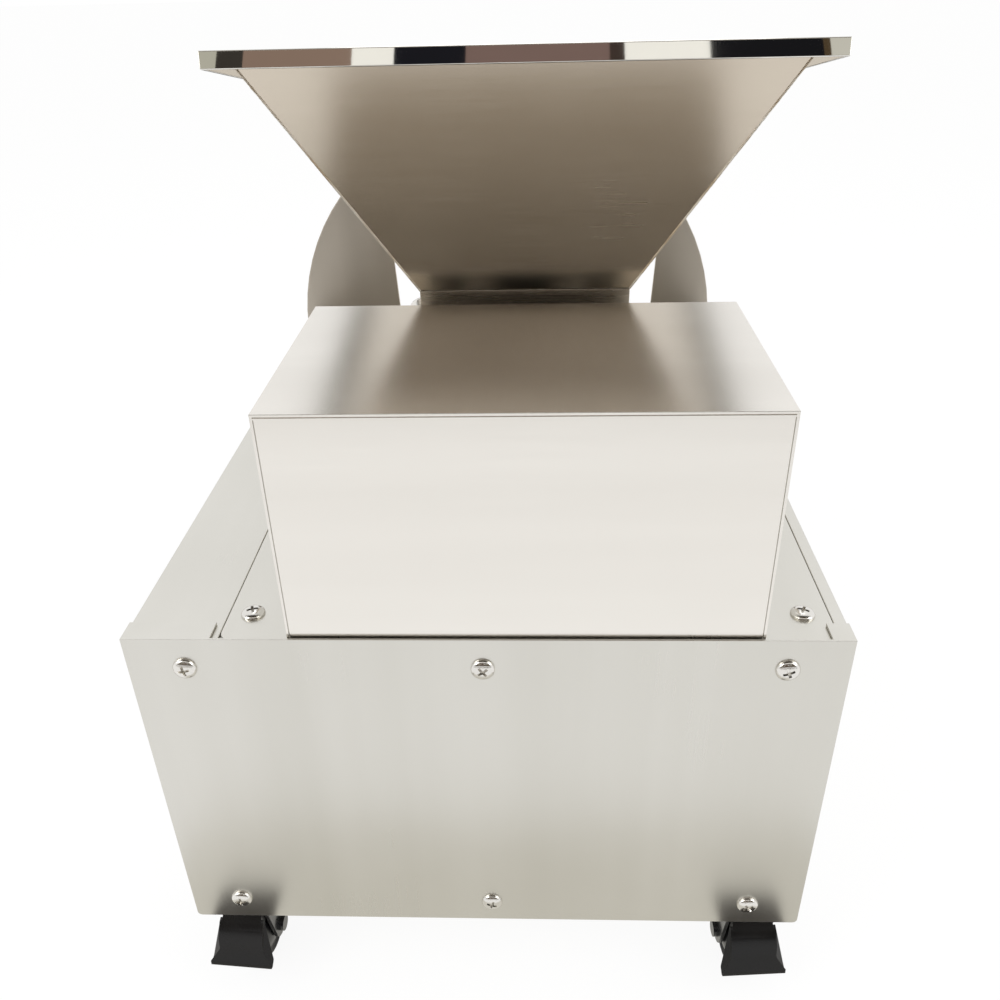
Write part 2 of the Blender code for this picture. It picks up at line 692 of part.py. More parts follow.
def make_band(name, first, r1, second, r2, height, y0, y1, material):
    """A closed band of rectangular section, its inner face on radii r1 and r2."""
    outer = loop_outline(first, r1 + height, second, r2 + height)
    inner = loop_outline(first, r1, second, r2)
    loops = [[(x, y, z) for x, z in outline] for outline, y in
             ((outer, y0), (outer, y1), (inner, y1), (inner, y0))]
    add(name, loft(loops, closed=True), material)


def sprocket_r(teeth):
    return CHAIN_PITCH / (2 * math.sin(math.pi / teeth))


def make_sprocket(name, centre, teeth, shaft_r, depth):
    tip = sprocket_r(teeth) - 0.0005
    pitch = 360 / teeth
    outline = lobed_outline(centre, tip, tip - 0.003, teeth, pitch * 0.10, pitch * 0.30)
    disc = prism(outline, "Y", CHAIN_Y, CHAIN_Y + depth)
    cut(disc, rod((centre[0], 0, centre[1]), "Y", shaft_r + GAP, CHAIN_Y - 0.01, CHAIN_Y + 0.03))
    add(name, disc, STEEL, (centre[0], CHAIN_Y, centre[1]))


def make_chain_drive():
    roller = (ROLLER_X[1], ROLLER_Z)
    beater = (LINE_X, BEATER_Z)
    make_sprocket("roller_sprocket", roller, ROLLER_SPROCKET_TEETH, ROLLER_SHAFT_R, CHAIN_WIDTH)
    make_sprocket("beater_sprocket", beater, BEATER_SPROCKET_TEETH, BEATER_SHAFT_R, CHAIN_WIDTH)
    r1 = sprocket_r(ROLLER_SPROCKET_TEETH)
    r2 = sprocket_r(BEATER_SPROCKET_TEETH)
    back = CHAIN_Y + CHAIN_WIDTH
    make_band("roller_chain", roller, r1, beater, r2, CHAIN_HEIGHT, CHAIN_Y, back, STEEL)


def make_pulley(name, centre, pitch_r, shaft_r):
    """Grooved pulley: the belt's neutral line runs on pitch_r."""
    bed = pitch_r - BELT_T / 2 - GAP
    rim = pitch_r + BELT_T / 2 - 0.001
    y0 = BELT_Y - GAP
    y1 = BELT_Y + BELT_WIDTH + GAP
    bore = shaft_r + GAP
    profile = [(bore, y0 - PULLEY_FLANGE_T), (rim, y0 - PULLEY_FLANGE_T), (rim, y0), (bed, y0),
               (bed, y1), (rim, y1), (rim, y1 + PULLEY_FLANGE_T), (bore, y1 + PULLEY_FLANGE_T)]
    pulley = turned(profile, (centre[0], 0, centre[1]), "Y", 24)
    add(name, pulley, CAST, (centre[0], BELT_Y, centre[1]))


def make_belt_drive():
    motor = (MOTOR_X, MOTOR_Z)
    beater = (LINE_X, BEATER_Z)
    make_pulley("motor_pulley", motor, PULLEY_MOTOR_R, MOTOR_SHAFT_R)
    make_pulley("beater_pulley", beater, PULLEY_BEATER_R, BEATER_SHAFT_R)
    make_band("drive_belt", beater, PULLEY_BEATER_R - BELT_T / 2, motor, PULLEY_MOTOR_R - BELT_T / 2,
              BELT_T, BELT_Y, BELT_Y + BELT_WIDTH, RUBBER)


def make_motor():
    """Short capacitor-run motor on a foot; its shaft runs in a blind bore."""
    y0 = MOTOR_Y0
    y1 = MOTOR_Y0 + MOTOR_LENGTH
    bell = 0.010
    bore = MOTOR_SHAFT_R + GAP
    blind = y1 - 0.012
    profile = [(0, y1), (MOTOR_R - 0.008, y1), (MOTOR_R, y1 - bell), (MOTOR_R, y0 + bell),
               (MOTOR_R - 0.008, y0), (bore, y0), (bore, blind), (0, blind)]
    body = turned(profile, (MOTOR_X, 0, MOTOR_Z), "Y", 30)
    foot = block((MOTOR_X - 0.036, y0 + 0.014, FLOOR_TOP + GAP),
                 (MOTOR_X + 0.036, y1 - 0.014, MOTOR_Z - MOTOR_R + 0.016))
    weld(body, foot)
    add("motor_body", body, MOTOR_PAINT)
    shaft = rod((MOTOR_X, 0, MOTOR_Z), "Y", MOTOR_SHAFT_R, BELT_Y - 0.006, blind - 0.001)
    add("motor_shaft", shaft, STEEL, (MOTOR_X, BELT_Y, MOTOR_Z))


# ---------------------------------------------------------------- beater and screen

def make_beater():
    """Shaft with flat arms set in a helix, each with a broad striking tip."""
    back = DEPTH + GAP + BAR_T + 0.012
    beater = rod((LINE_X, 0, BEATER_Z), "Y", BEATER_SHAFT_R, BELT_Y - 0.010, back)
    first = BULKHEAD_Y + 0.030
    last = END_Y - 0.026
    for i in range(BEATER_ARMS):
        y = first + (last - first) * i / (BEATER_ARMS - 1)
        low = BEATER_SHAFT_R / 2
        shoulder = BEATER_R - TIP_HEIGHT
        arm = block((LINE_X - ARM_THICKNESS / 2, y - ARM_WIDTH / 2, BEATER_Z + low),
                    (LINE_X + ARM_THICKNESS / 2, y + ARM_WIDTH / 2, BEATER_Z + shoulder + 0.001))
        tip = block((LINE_X - TIP_THICKNESS / 2, y - TIP_WIDTH / 2, BEATER_Z + shoulder),
                    (LINE_X + TIP_THICKNESS / 2, y + TIP_WIDTH / 2, BEATER_Z + BEATER_R))
        weld(arm, tip)
        turn(arm, ARM_STEP * (i + 0.5), "Y", (LINE_X, 0, BEATER_Z))
        weld(beater, arm)
    add("beater", beater, STAINLESS, (LINE_X, BULKHEAD_Y, BEATER_Z))


def make_beater_bearings():
    bore = BEATER_SHAFT_R + GAP
    wall = BULKHEAD_Y
    profile = [(bore, wall - 0.010), (0.018, wall - 0.010), (0.024, wall - 0.005), (0.024, wall - GAP),
               (FRONT_SPIGOT_R, wall - GAP), (FRONT_SPIGOT_R, wall + SHEET), (bore, wall + SHEET)]
    add("beater_bearing_front", turned(profile, (LINE_X, 0, BEATER_Z), "Y"), CAST)
    face = DEPTH + GAP + BAR_T
    profile = [(bore, face - BAR_T), (BAR_SPIGOT_R, face - BAR_T), (BAR_SPIGOT_R, face + GAP),
               (0.018, face + GAP), (0.018, face + 0.005), (bore, face + 0.005)]
    add("beater_bearing_rear", turned(profile, (LINE_X, 0, BEATER_Z), "Y"), CAST)


def make_bearing_bar():
    """Flat bar across the stem outlet, carrying the beater's rear bearing."""
    reach = STEM_HOLE_R + BAR_LAP
    r = 0.006
    low = BEATER_Z - BAR_HEIGHT / 2
    high = BEATER_Z + BAR_HEIGHT / 2
    left = LINE_X - reach
    right = LINE_X + reach
    outline = (arc((left + r, low + r), r, 180, 270, 3) + arc((right - r, low + r), r, 270, 360, 3)
               + arc((right - r, high - r), r, 0, 90, 3) + arc((left + r, high - r), r, 90, 180, 3))
    bar = prism(outline, "Y", DEPTH + GAP, DEPTH + GAP + BAR_T)
    cut(bar, rod((LINE_X, 0, BEATER_Z), "Y", BAR_SPIGOT_R + GAP, DEPTH - 0.01, DEPTH + 0.02))
    add("bearing_bar", bar, STAINLESS)


def make_screen():
    """Perforated trough round the beater, open upward under the rollers."""
    y0 = BULKHEAD_Y + SHEET + GAP
    y1 = END_Y - GAP
    start = -math.pi / 2 - SCREEN_ARC / 2
    cell_a = SCREEN_ARC / SCREEN_COLUMNS
    cell_y = (y1 - y0) / SCREEN_ROWS
    edge = (1 - SCREEN_HOLE) / 2
    marks = (0.0, edge, 1 - edge, 1.0)
    bm = bmesh.new()
    known = {}

    def vertex(radius, column, i, row, j):
        key = (radius, column + (i == 3), 0 if i == 3 else i, row + (j == 3), 0 if j == 3 else j)
        if key not in known:
            first = start + cell_a * column
            share = marks[i]
            a = Vector((math.cos(first), 0, math.sin(first)))
            b = Vector((math.cos(first + cell_a), 0, math.sin(first + cell_a)))
            spot = a.lerp(b, share) * radius
            y = y0 + cell_y * (row + marks[j])
            known[key] = bm.verts.new((LINE_X + spot.x, y, BEATER_Z + spot.z))
        return known[key]

    hole = ((1, 1), (2, 1), (2, 2), (1, 2))
    frame = ((0, 0), (3, 0), (3, 3), (0, 3))
    radii = (SCREEN_R, SCREEN_R - SCREEN_T)
    for column in range(SCREEN_COLUMNS):
        for row in range(SCREEN_ROWS):
            for radius in radii:
                rim = [vertex(radius, column, i, row, j) for i, j in frame]
                gap = [vertex(radius, column, i, row, j) for i, j in hole]
                for k in range(4):
                    bm.faces.new((rim[k], rim[(k + 1) % 4], gap[(k + 1) % 4], gap[k]))
            for k in range(4):
                (i, j), (m, n) = hole[k], hole[(k + 1) % 4]
                bm.faces.new([vertex(radii[0], column, i, row, j), vertex(radii[0], column, m, row, n),
                              vertex(radii[1], column, m, row, n), vertex(radii[1], column, i, row, j)])
    for row in range(SCREEN_ROWS):
        for column, i in ((0, 0), (SCREEN_COLUMNS - 1, 3)):
            bm.faces.new([vertex(radii[0], column, i, row, 0), vertex(radii[0], column, i, row, 3),
                          vertex(radii[1], column, i, row, 3), vertex(radii[1], column, i, row, 0)])
    for column in range(SCREEN_COLUMNS):
        for row, j in ((0, 0), (SCREEN_ROWS - 1, 3)):
            bm.faces.new([vertex(radii[0], column, 0, row, j), vertex(radii[0], column, 3, row, j),
                          vertex(radii[1], column, 3, row, j), vertex(radii[1], column, 0, row, j)])
    add("destemming_screen", body_from(bm), STAINLESS)


# ---------------------------------------------------------------- must tray

def tray_floor_z(x):
    return BASE_Z + TRAY_UP - (x - LINE_X) * math.tan(TRAY_SLOPE)


def spout_span():
    """Lowest and highest z of the cut-out that the spout leaves by."""
    low = tray_floor_z(SIDE_OUT) - SHEET - GAP - 0.0002
    return low, low + SPOUT_HEIGHT + 2 * SHEET


def make_must_tray():
    """Sloping pan under the screen, drained by a square spout through the right side."""
    y0 = BULKHEAD_Y + SHEET + GAP
    y1 = END_Y - GAP - SHEET - GAP
    left = -INSIDE_X + 0.001
    right = INSIDE_X - 0.002
    floor = BASE_Z + TRAY_UP
    pan = block((left, y0, floor - SHEET), (right, y1, floor + TRAY_WALL))
    cut(pan, block((left + SHEET, y0 + SHEET, floor),
                   (right - SHEET, y1 - SHEET, floor + TRAY_WALL + 0.01)))
    end = SIDE_OUT + SIDE_REACH
    y2 = SPOUT_Y
    y3 = SPOUT_Y + SPOUT_WIDTH
    weld(pan, block((right - 2 * SHEET, y2 - SHEET, floor - SHEET),
                    (end, y3 + SHEET, floor + SPOUT_HEIGHT)))
    cut(pan, block((right - 0.01, y2, floor), (end + 0.01, y3, floor + SPOUT_HEIGHT - SHEET)))
    turn(pan, TRAY_SLOPE, "Y", (LINE_X, 0, floor))
    add("must_tray", pan, STAINLESS)


# ---------------------------------------------------------------- switch and gland

def make_switch():
    outer = -SIDE_OUT - SIDE_REACH
    seat = -SIDE_OUT - GAP
    top = TOP_Z - SWITCH_DOWN
    low = top - SWITCH_HEIGHT
    y0 = SWITCH_Y
    y1 = SWITCH_Y + SWITCH_WIDTH
    wall = SWITCH_WALL
    chamfer = 0.003
    outline = [(seat, y0), (seat, y1), (outer + chamfer, y1), (outer, y1 - chamfer),
               (outer, y0 + chamfer), (outer + chamfer, y0)]
    box = prism(outline, "Z", low, top)
    cut(box, block((outer + wall, y0 + wall, low + wall), (seat + 0.01, y1 - wall, top - wall)))
    middle_y = (y0 + y1) / 2
    middle_z = (low + top) / 2 + 0.010
    margin = 0.0012
    cut(box, block((outer - 0.01, middle_y - ROCKER_W / 2 - margin, middle_z - ROCKER_H / 2 - margin),
                   (outer + 0.01, middle_y + ROCKER_W / 2 + margin, middle_z + ROCKER_H / 2 + margin)))
    cut(box, rod(((outer + seat) / 2, middle_y, 0), "Z", GLAND_SPIGOT_R + GAP, low - 0.01, low + 0.01))
    add("switch_box", box, BLACK_PLASTIC)
    pivot_x = outer + 0.0045
    crest = outer - 0.0002
    rocker = [(crest + 0.0016, middle_z + ROCKER_H / 2), (crest, middle_z + ROCKER_H / 2 - 0.001),
              (crest + 0.0012, middle_z), (crest, middle_z - ROCKER_H / 2 + 0.001),
              (crest + 0.0016, middle_z - ROCKER_H / 2), (pivot_x + 0.004, middle_z - ROCKER_H / 2 + 0.004),
              (pivot_x + 0.004, middle_z + ROCKER_H / 2 - 0.004)]
    key = prism(rocker, "Y", middle_y - ROCKER_W / 2, middle_y + ROCKER_W / 2)
    for side in (-1, 1):
        face = middle_y + side * ROCKER_W / 2
        stub_low, stub_high = sorted((face - side * 0.001, face + side * (margin - GAP)))
        weld(key, rod((pivot_x, 0, middle_z), "Y", 0.0015, stub_low, stub_high, 12))
    turn(key, -ROCKER_SWING, "Y", (pivot_x, 0, middle_z))
    add("rocker_switch", key, RED_PLASTIC, (pivot_x, middle_y, middle_z))
    foot = low - GAP
    profile = [(GLAND_BORE_R, low + 0.006), (GLAND_SPIGOT_R, low + 0.006), (GLAND_SPIGOT_R, foot),
               (GLAND_R, foot), (GLAND_R, foot - 0.006), (GLAND_R - 0.002, foot - 0.007),
               (GLAND_R - 0.002, foot - 0.012), (GLAND_BORE_R + 0.001, foot - 0.017),
               (GLAND_BORE_R, foot - 0.017)]
    add("cable_gland", turned(profile, ((outer + seat) / 2, middle_y, 0), "Z", 18), BLACK_PLASTIC)


# ---------------------------------------------------------------- screws

def make_screw(name, place, axis):
    """Cross-recessed truss screw; its head stands on the face at place."""
    profile = [(0, HEAD_H), (HEAD_R * 0.45, HEAD_H * 0.94), (HEAD_R * 0.8, HEAD_H * 0.62),
               (HEAD_R, HEAD_H * 0.12), (HEAD_R, GAP), (SHANK_R, GAP), (SHANK_R, -SHANK_L), (0, -SHANK_L)]
    screw = turned(profile, (0, 0, 0), "Z", 12)
    arm = HEAD_R * 0.55
    slit = HEAD_R * 0.11
    deep = HEAD_H * 0.45
    for half_x, half_y in ((arm, slit), (slit, arm)):
        cut(screw, block((-half_x, -half_y, deep), (half_x, half_y, HEAD_H + 0.002)))
    if axis == "-Y":
        screw.data.transform(Matrix.Rotation(math.radians(90), 4, "X"))
    screw.data.transform(Matrix.Translation(place))
    add(name, screw, BRIGHT, place)


def make_screws():
    for number, (x, z) in enumerate(front_screw_places(), start=1):
        make_screw("front_screw_%d" % number, (x, 0, z), "-Y")
    for name, (x, y) in zip(("left", "right"), cover_screw_places()):
        make_screw("cover_screw_" + name, (x, y, COVER_FOOT + SHEET), "+Z")


# ---------------------------------------------------------------- castors

def make_castor(name, x, y, angle, braked):
    """Swivel castor: top plate with race, fork with its axle bolt, wheel, and brake pedal.

    It is built with the wheel trailing toward -Y and then turned about the swivel axis.
    """
    swivel = (x, y, 0)
    axle_y = y - TRAIL
    plate_top = BASE_Z - GAP
    plate_low = plate_top - PLATE_T
    race_low = plate_low - RACE_H
    plate = block((x - PLATE_X / 2, y - PLATE_Y / 2, plate_low),
                  (x + PLATE_X / 2, y + PLATE_Y / 2, plate_top))
    weld(plate, turned([(0, race_low), (RACE_R - 0.003, race_low), (RACE_R, plate_low + 0.0005),
                        (0, plate_low + 0.0005)], swivel, "Z", 20))
    add("castor_plate_" + name, plate, BLACK_PAINT)

    crown_top = race_low - GAP
    crown_low = crown_top - FORK_T
    inner = WHEEL_W / 2 + WHEEL_SIDE
    outer = inner + FORK_T
    fork = turned([(0, crown_low), (RACE_R + 0.001, crown_low), (RACE_R + 0.001, crown_top),
                   (0, crown_top)], swivel, "Z", 20)
    leg = [(y + 0.013, crown_top - 0.0008), (y + 0.010, crown_low - 0.006)]
    leg += arc((axle_y, WHEEL_R), 0.0095, -50, -180, 5)
    leg += [(axle_y - 0.016, crown_low - 0.006), (axle_y - 0.016, crown_top - 0.0008)]
    for side in (-1, 1):
        low, high = sorted((x + side * inner, x + side * outer))
        weld(fork, prism(leg, "X", low, high))
    pin_y = axle_y - PEDAL_PIN_AHEAD
    pin_z = crown_low - PEDAL_PIN_DOWN
    crown_front = pin_y + PEDAL_PIN_R + PEDAL_EYE_WALL + GAP
    weld(fork, block((x - outer + 0.0005, crown_front, crown_low),
                     (x + outer - 0.0005, y, crown_top - 0.0004)))
    seat = outer - 0.0005
    tip = outer + AXLE_HEAD_T
    axle = [(0, x - tip), (AXLE_HEAD_R, x - tip), (AXLE_HEAD_R, x - seat), (AXLE_R, x - seat),
            (AXLE_R, x + seat), (AXLE_HEAD_R, x + seat), (AXLE_HEAD_R, x + tip), (0, x + tip)]
    weld(fork, turned(axle, (0, axle_y, WHEEL_R), "X", 16))
    if braked:
        weld(fork, rod((0, pin_y, pin_z), "X", PEDAL_PIN_R, x - inner - 0.001, x + inner + 0.001, 12))
    turn(fork, angle, "Z", swivel)
    add("castor_fork_" + name, fork, BLACK_PAINT, (x, y, BASE_Z))

    r = WHEEL_R
    w = WHEEL_W / 2
    bore = AXLE_R + GAP
    tread = [(bore, -w - 0.0015), (0.0080, -w - 0.0015), (r - 0.006, -w + 0.002),
             (r - 0.0040, -w), (r, -w + 0.003)]
    profile = [(radius, x + along) for radius, along in tread]
    profile += [(radius, x - along) for radius, along in reversed(tread)]
    wheel = turned(profile, (0, axle_y, r), "X", 24)
    turn(wheel, angle, "Z", swivel)
    hub = Matrix.Rotation(angle, 3, "Z") @ Vector((0, -TRAIL, 0))
    add("castor_wheel_" + name, wheel, WHEEL_PLASTIC, (x + hub.x, y + hub.y, r))

    if braked:
        make_pedal(name, swivel, angle, pin_y, pin_z, inner)


def make_pedal(name, swivel, angle, pin_y, pin_z, inner):
    """Moulded brake pedal on the fork's cross pin, curving down over the wheel.

    The tread's under and upper curves are points (ahead, down) from the pin.
    """
    x = swivel[0]
    under = [(0.0045, 0.0062), (0.0108, 0.0115), (0.0132, 0.0195), (0.0180, 0.0270), (0.0220, 0.0300)]
    over = [(0.0242, 0.0290), (0.0238, 0.0255), (0.0190, 0.0185), (0.0175, 0.0095),
            (0.0110, 0.0005), (0.0060, -0.0046)]
    tread = [(pin_y - ahead, pin_z - down) for ahead, down in under + over]
    eye = arc((pin_y, pin_z), PEDAL_PIN_R + PEDAL_EYE_WALL, 100, -60, 5)
    narrow = inner - GAP - 0.0002
    pedal = prism(eye + tread, "X", x - narrow, x + narrow)
    split = pin_y - 0.0081
    wide = [point for point in tread if point[0] < split]
    apron = [(split, pin_z - 0.0095)] + wide + [(split, pin_z + 0.0010)]
    flare = prism(apron, "X", x - PEDAL_WIDTH / 2, x + PEDAL_WIDTH / 2)
    for vertex in flare.data.vertices:
        if vertex.co.z > pin_z - PEDAL_FLARE_DOWN:
            vertex.co.x = x + (vertex.co.x - x) * PEDAL_WAIST / PEDAL_WIDTH
    weld(pedal, flare)
    cut(pedal, rod((0, pin_y, pin_z), "X", PEDAL_PIN_R + GAP, x - 0.03, x + 0.03, 12))
    turn(pedal, angle, "Z", swivel)
    pin = Matrix.Rotation(angle, 3, "Z") @ Vector((0, pin_y - swivel[1], 0))
    add("brake_pedal_" + name, pedal, BLACK_PLASTIC, (x + pin.x, swivel[1] + pin.y, pin_z))


def make_castors():
    x = WIDTH / 2 - CASTOR_IN_X
    front = CASTOR_IN_Y
    rear = DEPTH - CASTOR_IN_Y
    make_castor("front_left", -x, front, -FRONT_CASTOR_TURN, True)
    make_castor("front_right", x, front, FRONT_CASTOR_TURN, True)
    make_castor("rear_left", -x, rear, REAR_LEFT_TURN, False)
    make_castor("rear_right", x, rear, REAR_RIGHT_TURN, False)


def centre_on_origin():
    """Move every sub-part so that the whole stands centred in plan on the origin."""
    bpy.context.view_layer.update()
    corners = []
    for item in bpy.data.objects:
        corners += [item.matrix_world @ Vector(corner) for corner in item.bound_box]
    shift = Vector((0, 0, 0))
    for axis in (0, 1):
        values = [corner[axis] for corner in corners]
        shift[axis] = -(min(values) + max(values)) / 2
    shift.z = -min(corner.z for corner in corners)
    for item in bpy.data.objects:
        item.location += shift


clear_scene()
STAINLESS = finish_material("stainless_sheet", (0.62, 0.60, 0.57), 0.34, 1.0)
POLISHED = finish_material("polished_rim", (0.74, 0.72, 0.69), 0.06, 1.0)
BRIGHT = finish_material("bright_screw", (0.72, 0.71, 0.69), 0.18, 1.0)
ROLLER_METAL = finish_material("roller_aluminium", (0.66, 0.66, 0.66), 0.4, 1.0)
STEEL = finish_material("machined_steel", (0.45, 0.45, 0.46), 0.35, 1.0)
CAST = finish_material("cast_iron", (0.16, 0.16, 0.17), 0.6, 0.8)
BLACK_PAINT = finish_material("castor_paint", (0.03, 0.03, 0.032), 0.4, 0.3)
NYLON = finish_material("white_nylon", (0.82, 0.81, 0.77), 0.5, 0.0)
RUBBER = finish_material("belt_rubber", (0.02, 0.02, 0.02), 0.8, 0.0)
WHEEL_PLASTIC = finish_material("wheel_plastic", (0.03, 0.03, 0.03), 0.6, 0.0)
MOTOR_PAINT = finish_material("motor_paint", (0.08, 0.12, 0.2), 0.45, 0.0)
BLACK_PLASTIC = finish_material("black_plastic", (0.015, 0.015, 0.016), 0.4, 0.0)
RED_PLASTIC = finish_material("red_rocker", (0.5, 0.03, 0.02), 0.35, 0.0)

make_front_panel()
make_side_panels()
make_end_panel()
make_deck_plate()
make_base_plate()
make_bulkhead()
make_drive_cover()
make_hopper()
make_hopper_rim()
make_roller_housing()
make_cap_bolt()
make_rollers()
make_roller_bushes()
make_roller_gears()
make_chain_drive()
make_belt_drive()
make_motor()
make_beater()
make_beater_bearings()
make_bearing_bar()
make_screen()
make_must_tray()
make_switch()
make_screws()
make_castors()
centre_on_origin()
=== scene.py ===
"""A small grape crusher destemmer: stainless cabinet on castors, drive cover, tilted hopper.

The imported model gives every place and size. The sections follow the machine as it is put
together, from the sheet-metal cabinet to the castors under it.
"""
import json
import math

import bmesh
import bpy
from mathutils import Matrix, Vector


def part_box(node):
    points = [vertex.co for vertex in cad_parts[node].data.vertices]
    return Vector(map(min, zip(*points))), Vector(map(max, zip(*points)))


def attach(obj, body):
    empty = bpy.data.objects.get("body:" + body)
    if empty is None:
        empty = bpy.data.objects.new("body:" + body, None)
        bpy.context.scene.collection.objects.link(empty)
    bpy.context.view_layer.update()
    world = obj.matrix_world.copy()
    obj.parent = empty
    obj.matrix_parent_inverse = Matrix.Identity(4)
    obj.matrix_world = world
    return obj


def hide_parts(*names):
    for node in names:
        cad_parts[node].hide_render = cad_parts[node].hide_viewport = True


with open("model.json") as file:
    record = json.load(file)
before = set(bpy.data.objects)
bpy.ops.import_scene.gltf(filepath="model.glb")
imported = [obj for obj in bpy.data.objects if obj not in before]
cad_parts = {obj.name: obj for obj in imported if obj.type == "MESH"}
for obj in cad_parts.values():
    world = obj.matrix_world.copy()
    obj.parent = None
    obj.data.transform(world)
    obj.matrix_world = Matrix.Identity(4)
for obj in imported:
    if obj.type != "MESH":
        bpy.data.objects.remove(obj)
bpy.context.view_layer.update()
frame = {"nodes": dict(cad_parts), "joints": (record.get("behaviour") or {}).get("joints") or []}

# ---------------------------------------------------------------- camera
# A person standing over the operator's end looks down on the machine, a little from the right and
# near enough for its foot to look narrower than its top.

panel_low, panel_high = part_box("front_panel")
panel_top_middle = Vector(((panel_low.x + panel_high.x) / 2, panel_low.y, panel_high.z))
eye = panel_top_middle + Vector((0.0284, -0.3964, 0.3188))
lens = bpy.data.cameras.new("standing_view")
lens.lens = 33.53
camera = bpy.data.objects.new("standing_view", lens)
bpy.context.scene.collection.objects.link(camera)
pan = Matrix.Rotation(math.radians(2.49), 4, "Z")
pitch = Matrix.Rotation(math.radians(90 - 30.21), 4, "X")
roll = Matrix.Rotation(math.radians(-1.45), 4, "Z")
camera.matrix_world = Matrix.Translation(eye) @ pan @ pitch @ roll
bpy.context.scene.camera = camera
bpy.context.scene.view_settings.view_transform = "Standard"

# ---------------------------------------------------------------- studio
# A white sweep under and behind the machine, soft boxes at both sides, and the brown wall and
# dim ceiling of the workshop in front of it, which only the polished metal shows.


def seen_directly(nodes, links):
    """1 for camera, mirror and glass rays, 0 for light that only falls on something."""
    path = nodes.new("ShaderNodeLightPath")
    either = nodes.new("ShaderNodeMath")
    either.operation = "MAXIMUM"
    links.new(path.outputs["Is Camera Ray"], either.inputs[0])
    links.new(path.outputs["Is Glossy Ray"], either.inputs[1])
    any_ray = nodes.new("ShaderNodeMath")
    any_ray.operation = "MAXIMUM"
    links.new(either.outputs[0], any_ray.inputs[0])
    links.new(path.outputs["Is Transmission Ray"], any_ray.inputs[1])
    return any_ray.outputs[0]


world = bpy.data.worlds.new("white_studio")
world.use_nodes = True
bpy.context.scene.world = world
sky = world.node_tree.nodes["Background"]
sky.inputs["Color"].default_value = (1.0, 1.0, 1.0, 1.0)
sky_level = world.node_tree.nodes.new("ShaderNodeMapRange")
sky_level.inputs["To Min"].default_value = 0.72
sky_level.inputs["To Max"].default_value = 1.0
world.node_tree.links.new(seen_directly(world.node_tree.nodes, world.node_tree.links),
                          sky_level.inputs["Value"])
world.node_tree.links.new(sky_level.outputs["Result"], sky.inputs["Strength"])


def stage_plane(name, corners, material):
    """One flat four-cornered surface of the studio."""
    mesh = bpy.data.meshes.new(name)
    mesh.from_pydata(corners, [], [(0, 1, 2, 3)])
    plane = bpy.data.objects.new(name, mesh)
    bpy.context.scene.collection.objects.link(plane)
    mesh.materials.append(material)
    return plane


FLOOR_GLOW = 1.03
FLOOR_GLOW_SHARE = 0.88


def floor_paint():
    """White paint that glows to camera and mirrors, and still keeps the machine's shadow."""
    paint = bpy.data.materials.new("white_floor")
    paint.use_nodes = True
    nodes, links = paint.node_tree.nodes, paint.node_tree.links
    nodes.clear()
    matt = nodes.new("ShaderNodeBsdfDiffuse")
    matt.inputs["Color"].default_value = (0.92, 0.92, 0.91, 1.0)
    glow = nodes.new("ShaderNodeEmission")
    glow.inputs["Color"].default_value = (1.0, 1.0, 1.0, 1.0)
    glow.inputs["Strength"].default_value = FLOOR_GLOW
    share = nodes.new("ShaderNodeMath")
    share.operation = "MULTIPLY"
    share.inputs[1].default_value = FLOOR_GLOW_SHARE
    links.new(seen_directly(nodes, links), share.inputs[0])
    blend = nodes.new("ShaderNodeMixShader")
    links.new(share.outputs[0], blend.inputs["Fac"])
    links.new(matt.outputs[0], blend.inputs[1])
    links.new(glow.outputs[0], blend.inputs[2])
    output = nodes.new("ShaderNodeOutputMaterial")
    links.new(blend.outputs[0], output.inputs["Surface"])
    return paint


stage_plane("floor", [(-20, -20, 0), (20, -20, 0), (20, 20, 0), (-20, 20, 0)], floor_paint())


def room_card(name, corners, color):
    """A painted surface of the room, seen only by mirror rays."""
    paint = bpy.data.materials.new(name)
    paint.use_nodes = True
    nodes, links = paint.node_tree.nodes, paint.node_tree.links
    nodes.clear()
    glow = nodes.new("ShaderNodeEmission")
    glow.inputs["Color"].default_value = (*color, 1.0)
    output = nodes.new("ShaderNodeOutputMaterial")
    links.new(glow.outputs[0], output.inputs["Surface"])
    card = stage_plane(name, corners, paint)
    card.visible_camera = False
    card.visible_diffuse = False
    card.visible_shadow = False
    card.visible_transmission = False


def level_card(name, left, right, far, near, height, color):
    """A level surface of the room, from far in front of the machine to near it."""
    room_card(name, [(left, far, height), (right, far, height), (right, near, height), (left, near, height)],
              color)


def standing_card(name, left, right, foot, top, y, color):
    """An upright surface of the room, facing the machine."""
    room_card(name, [(left, y, foot), (right, y, foot), (right, y, top), (left, y, top)], color)


wall_y = panel_low.y - 2.35
standing_card("room_wall", -3, 3, 0.3, 2.2, wall_y, (0.08, 0.055, 0.030))
# The far part of the workshop floor is tan on the left and darker on the right.
floor_height = 0.003
floor_parting = 0.15
white_floor_end = -1.6
level_card("floor_left", -3, floor_parting, wall_y, white_floor_end, floor_height, (0.20, 0.155, 0.11))
level_card("floor_right", floor_parting, 3, wall_y, white_floor_end, floor_height, (0.08, 0.060, 0.040))
# Overhead are dark beams near the machine and a lighter ceiling further off.
ceiling_height = 1.95
beams_end = -1.15
level_card("dark_beams", -2.2, 2.2, beams_end, -0.15, ceiling_height, (0.030, 0.023, 0.016))
level_card("room_ceiling", -2.2, 2.2, -1.6, beams_end, ceiling_height, (0.46, 0.40, 0.32))
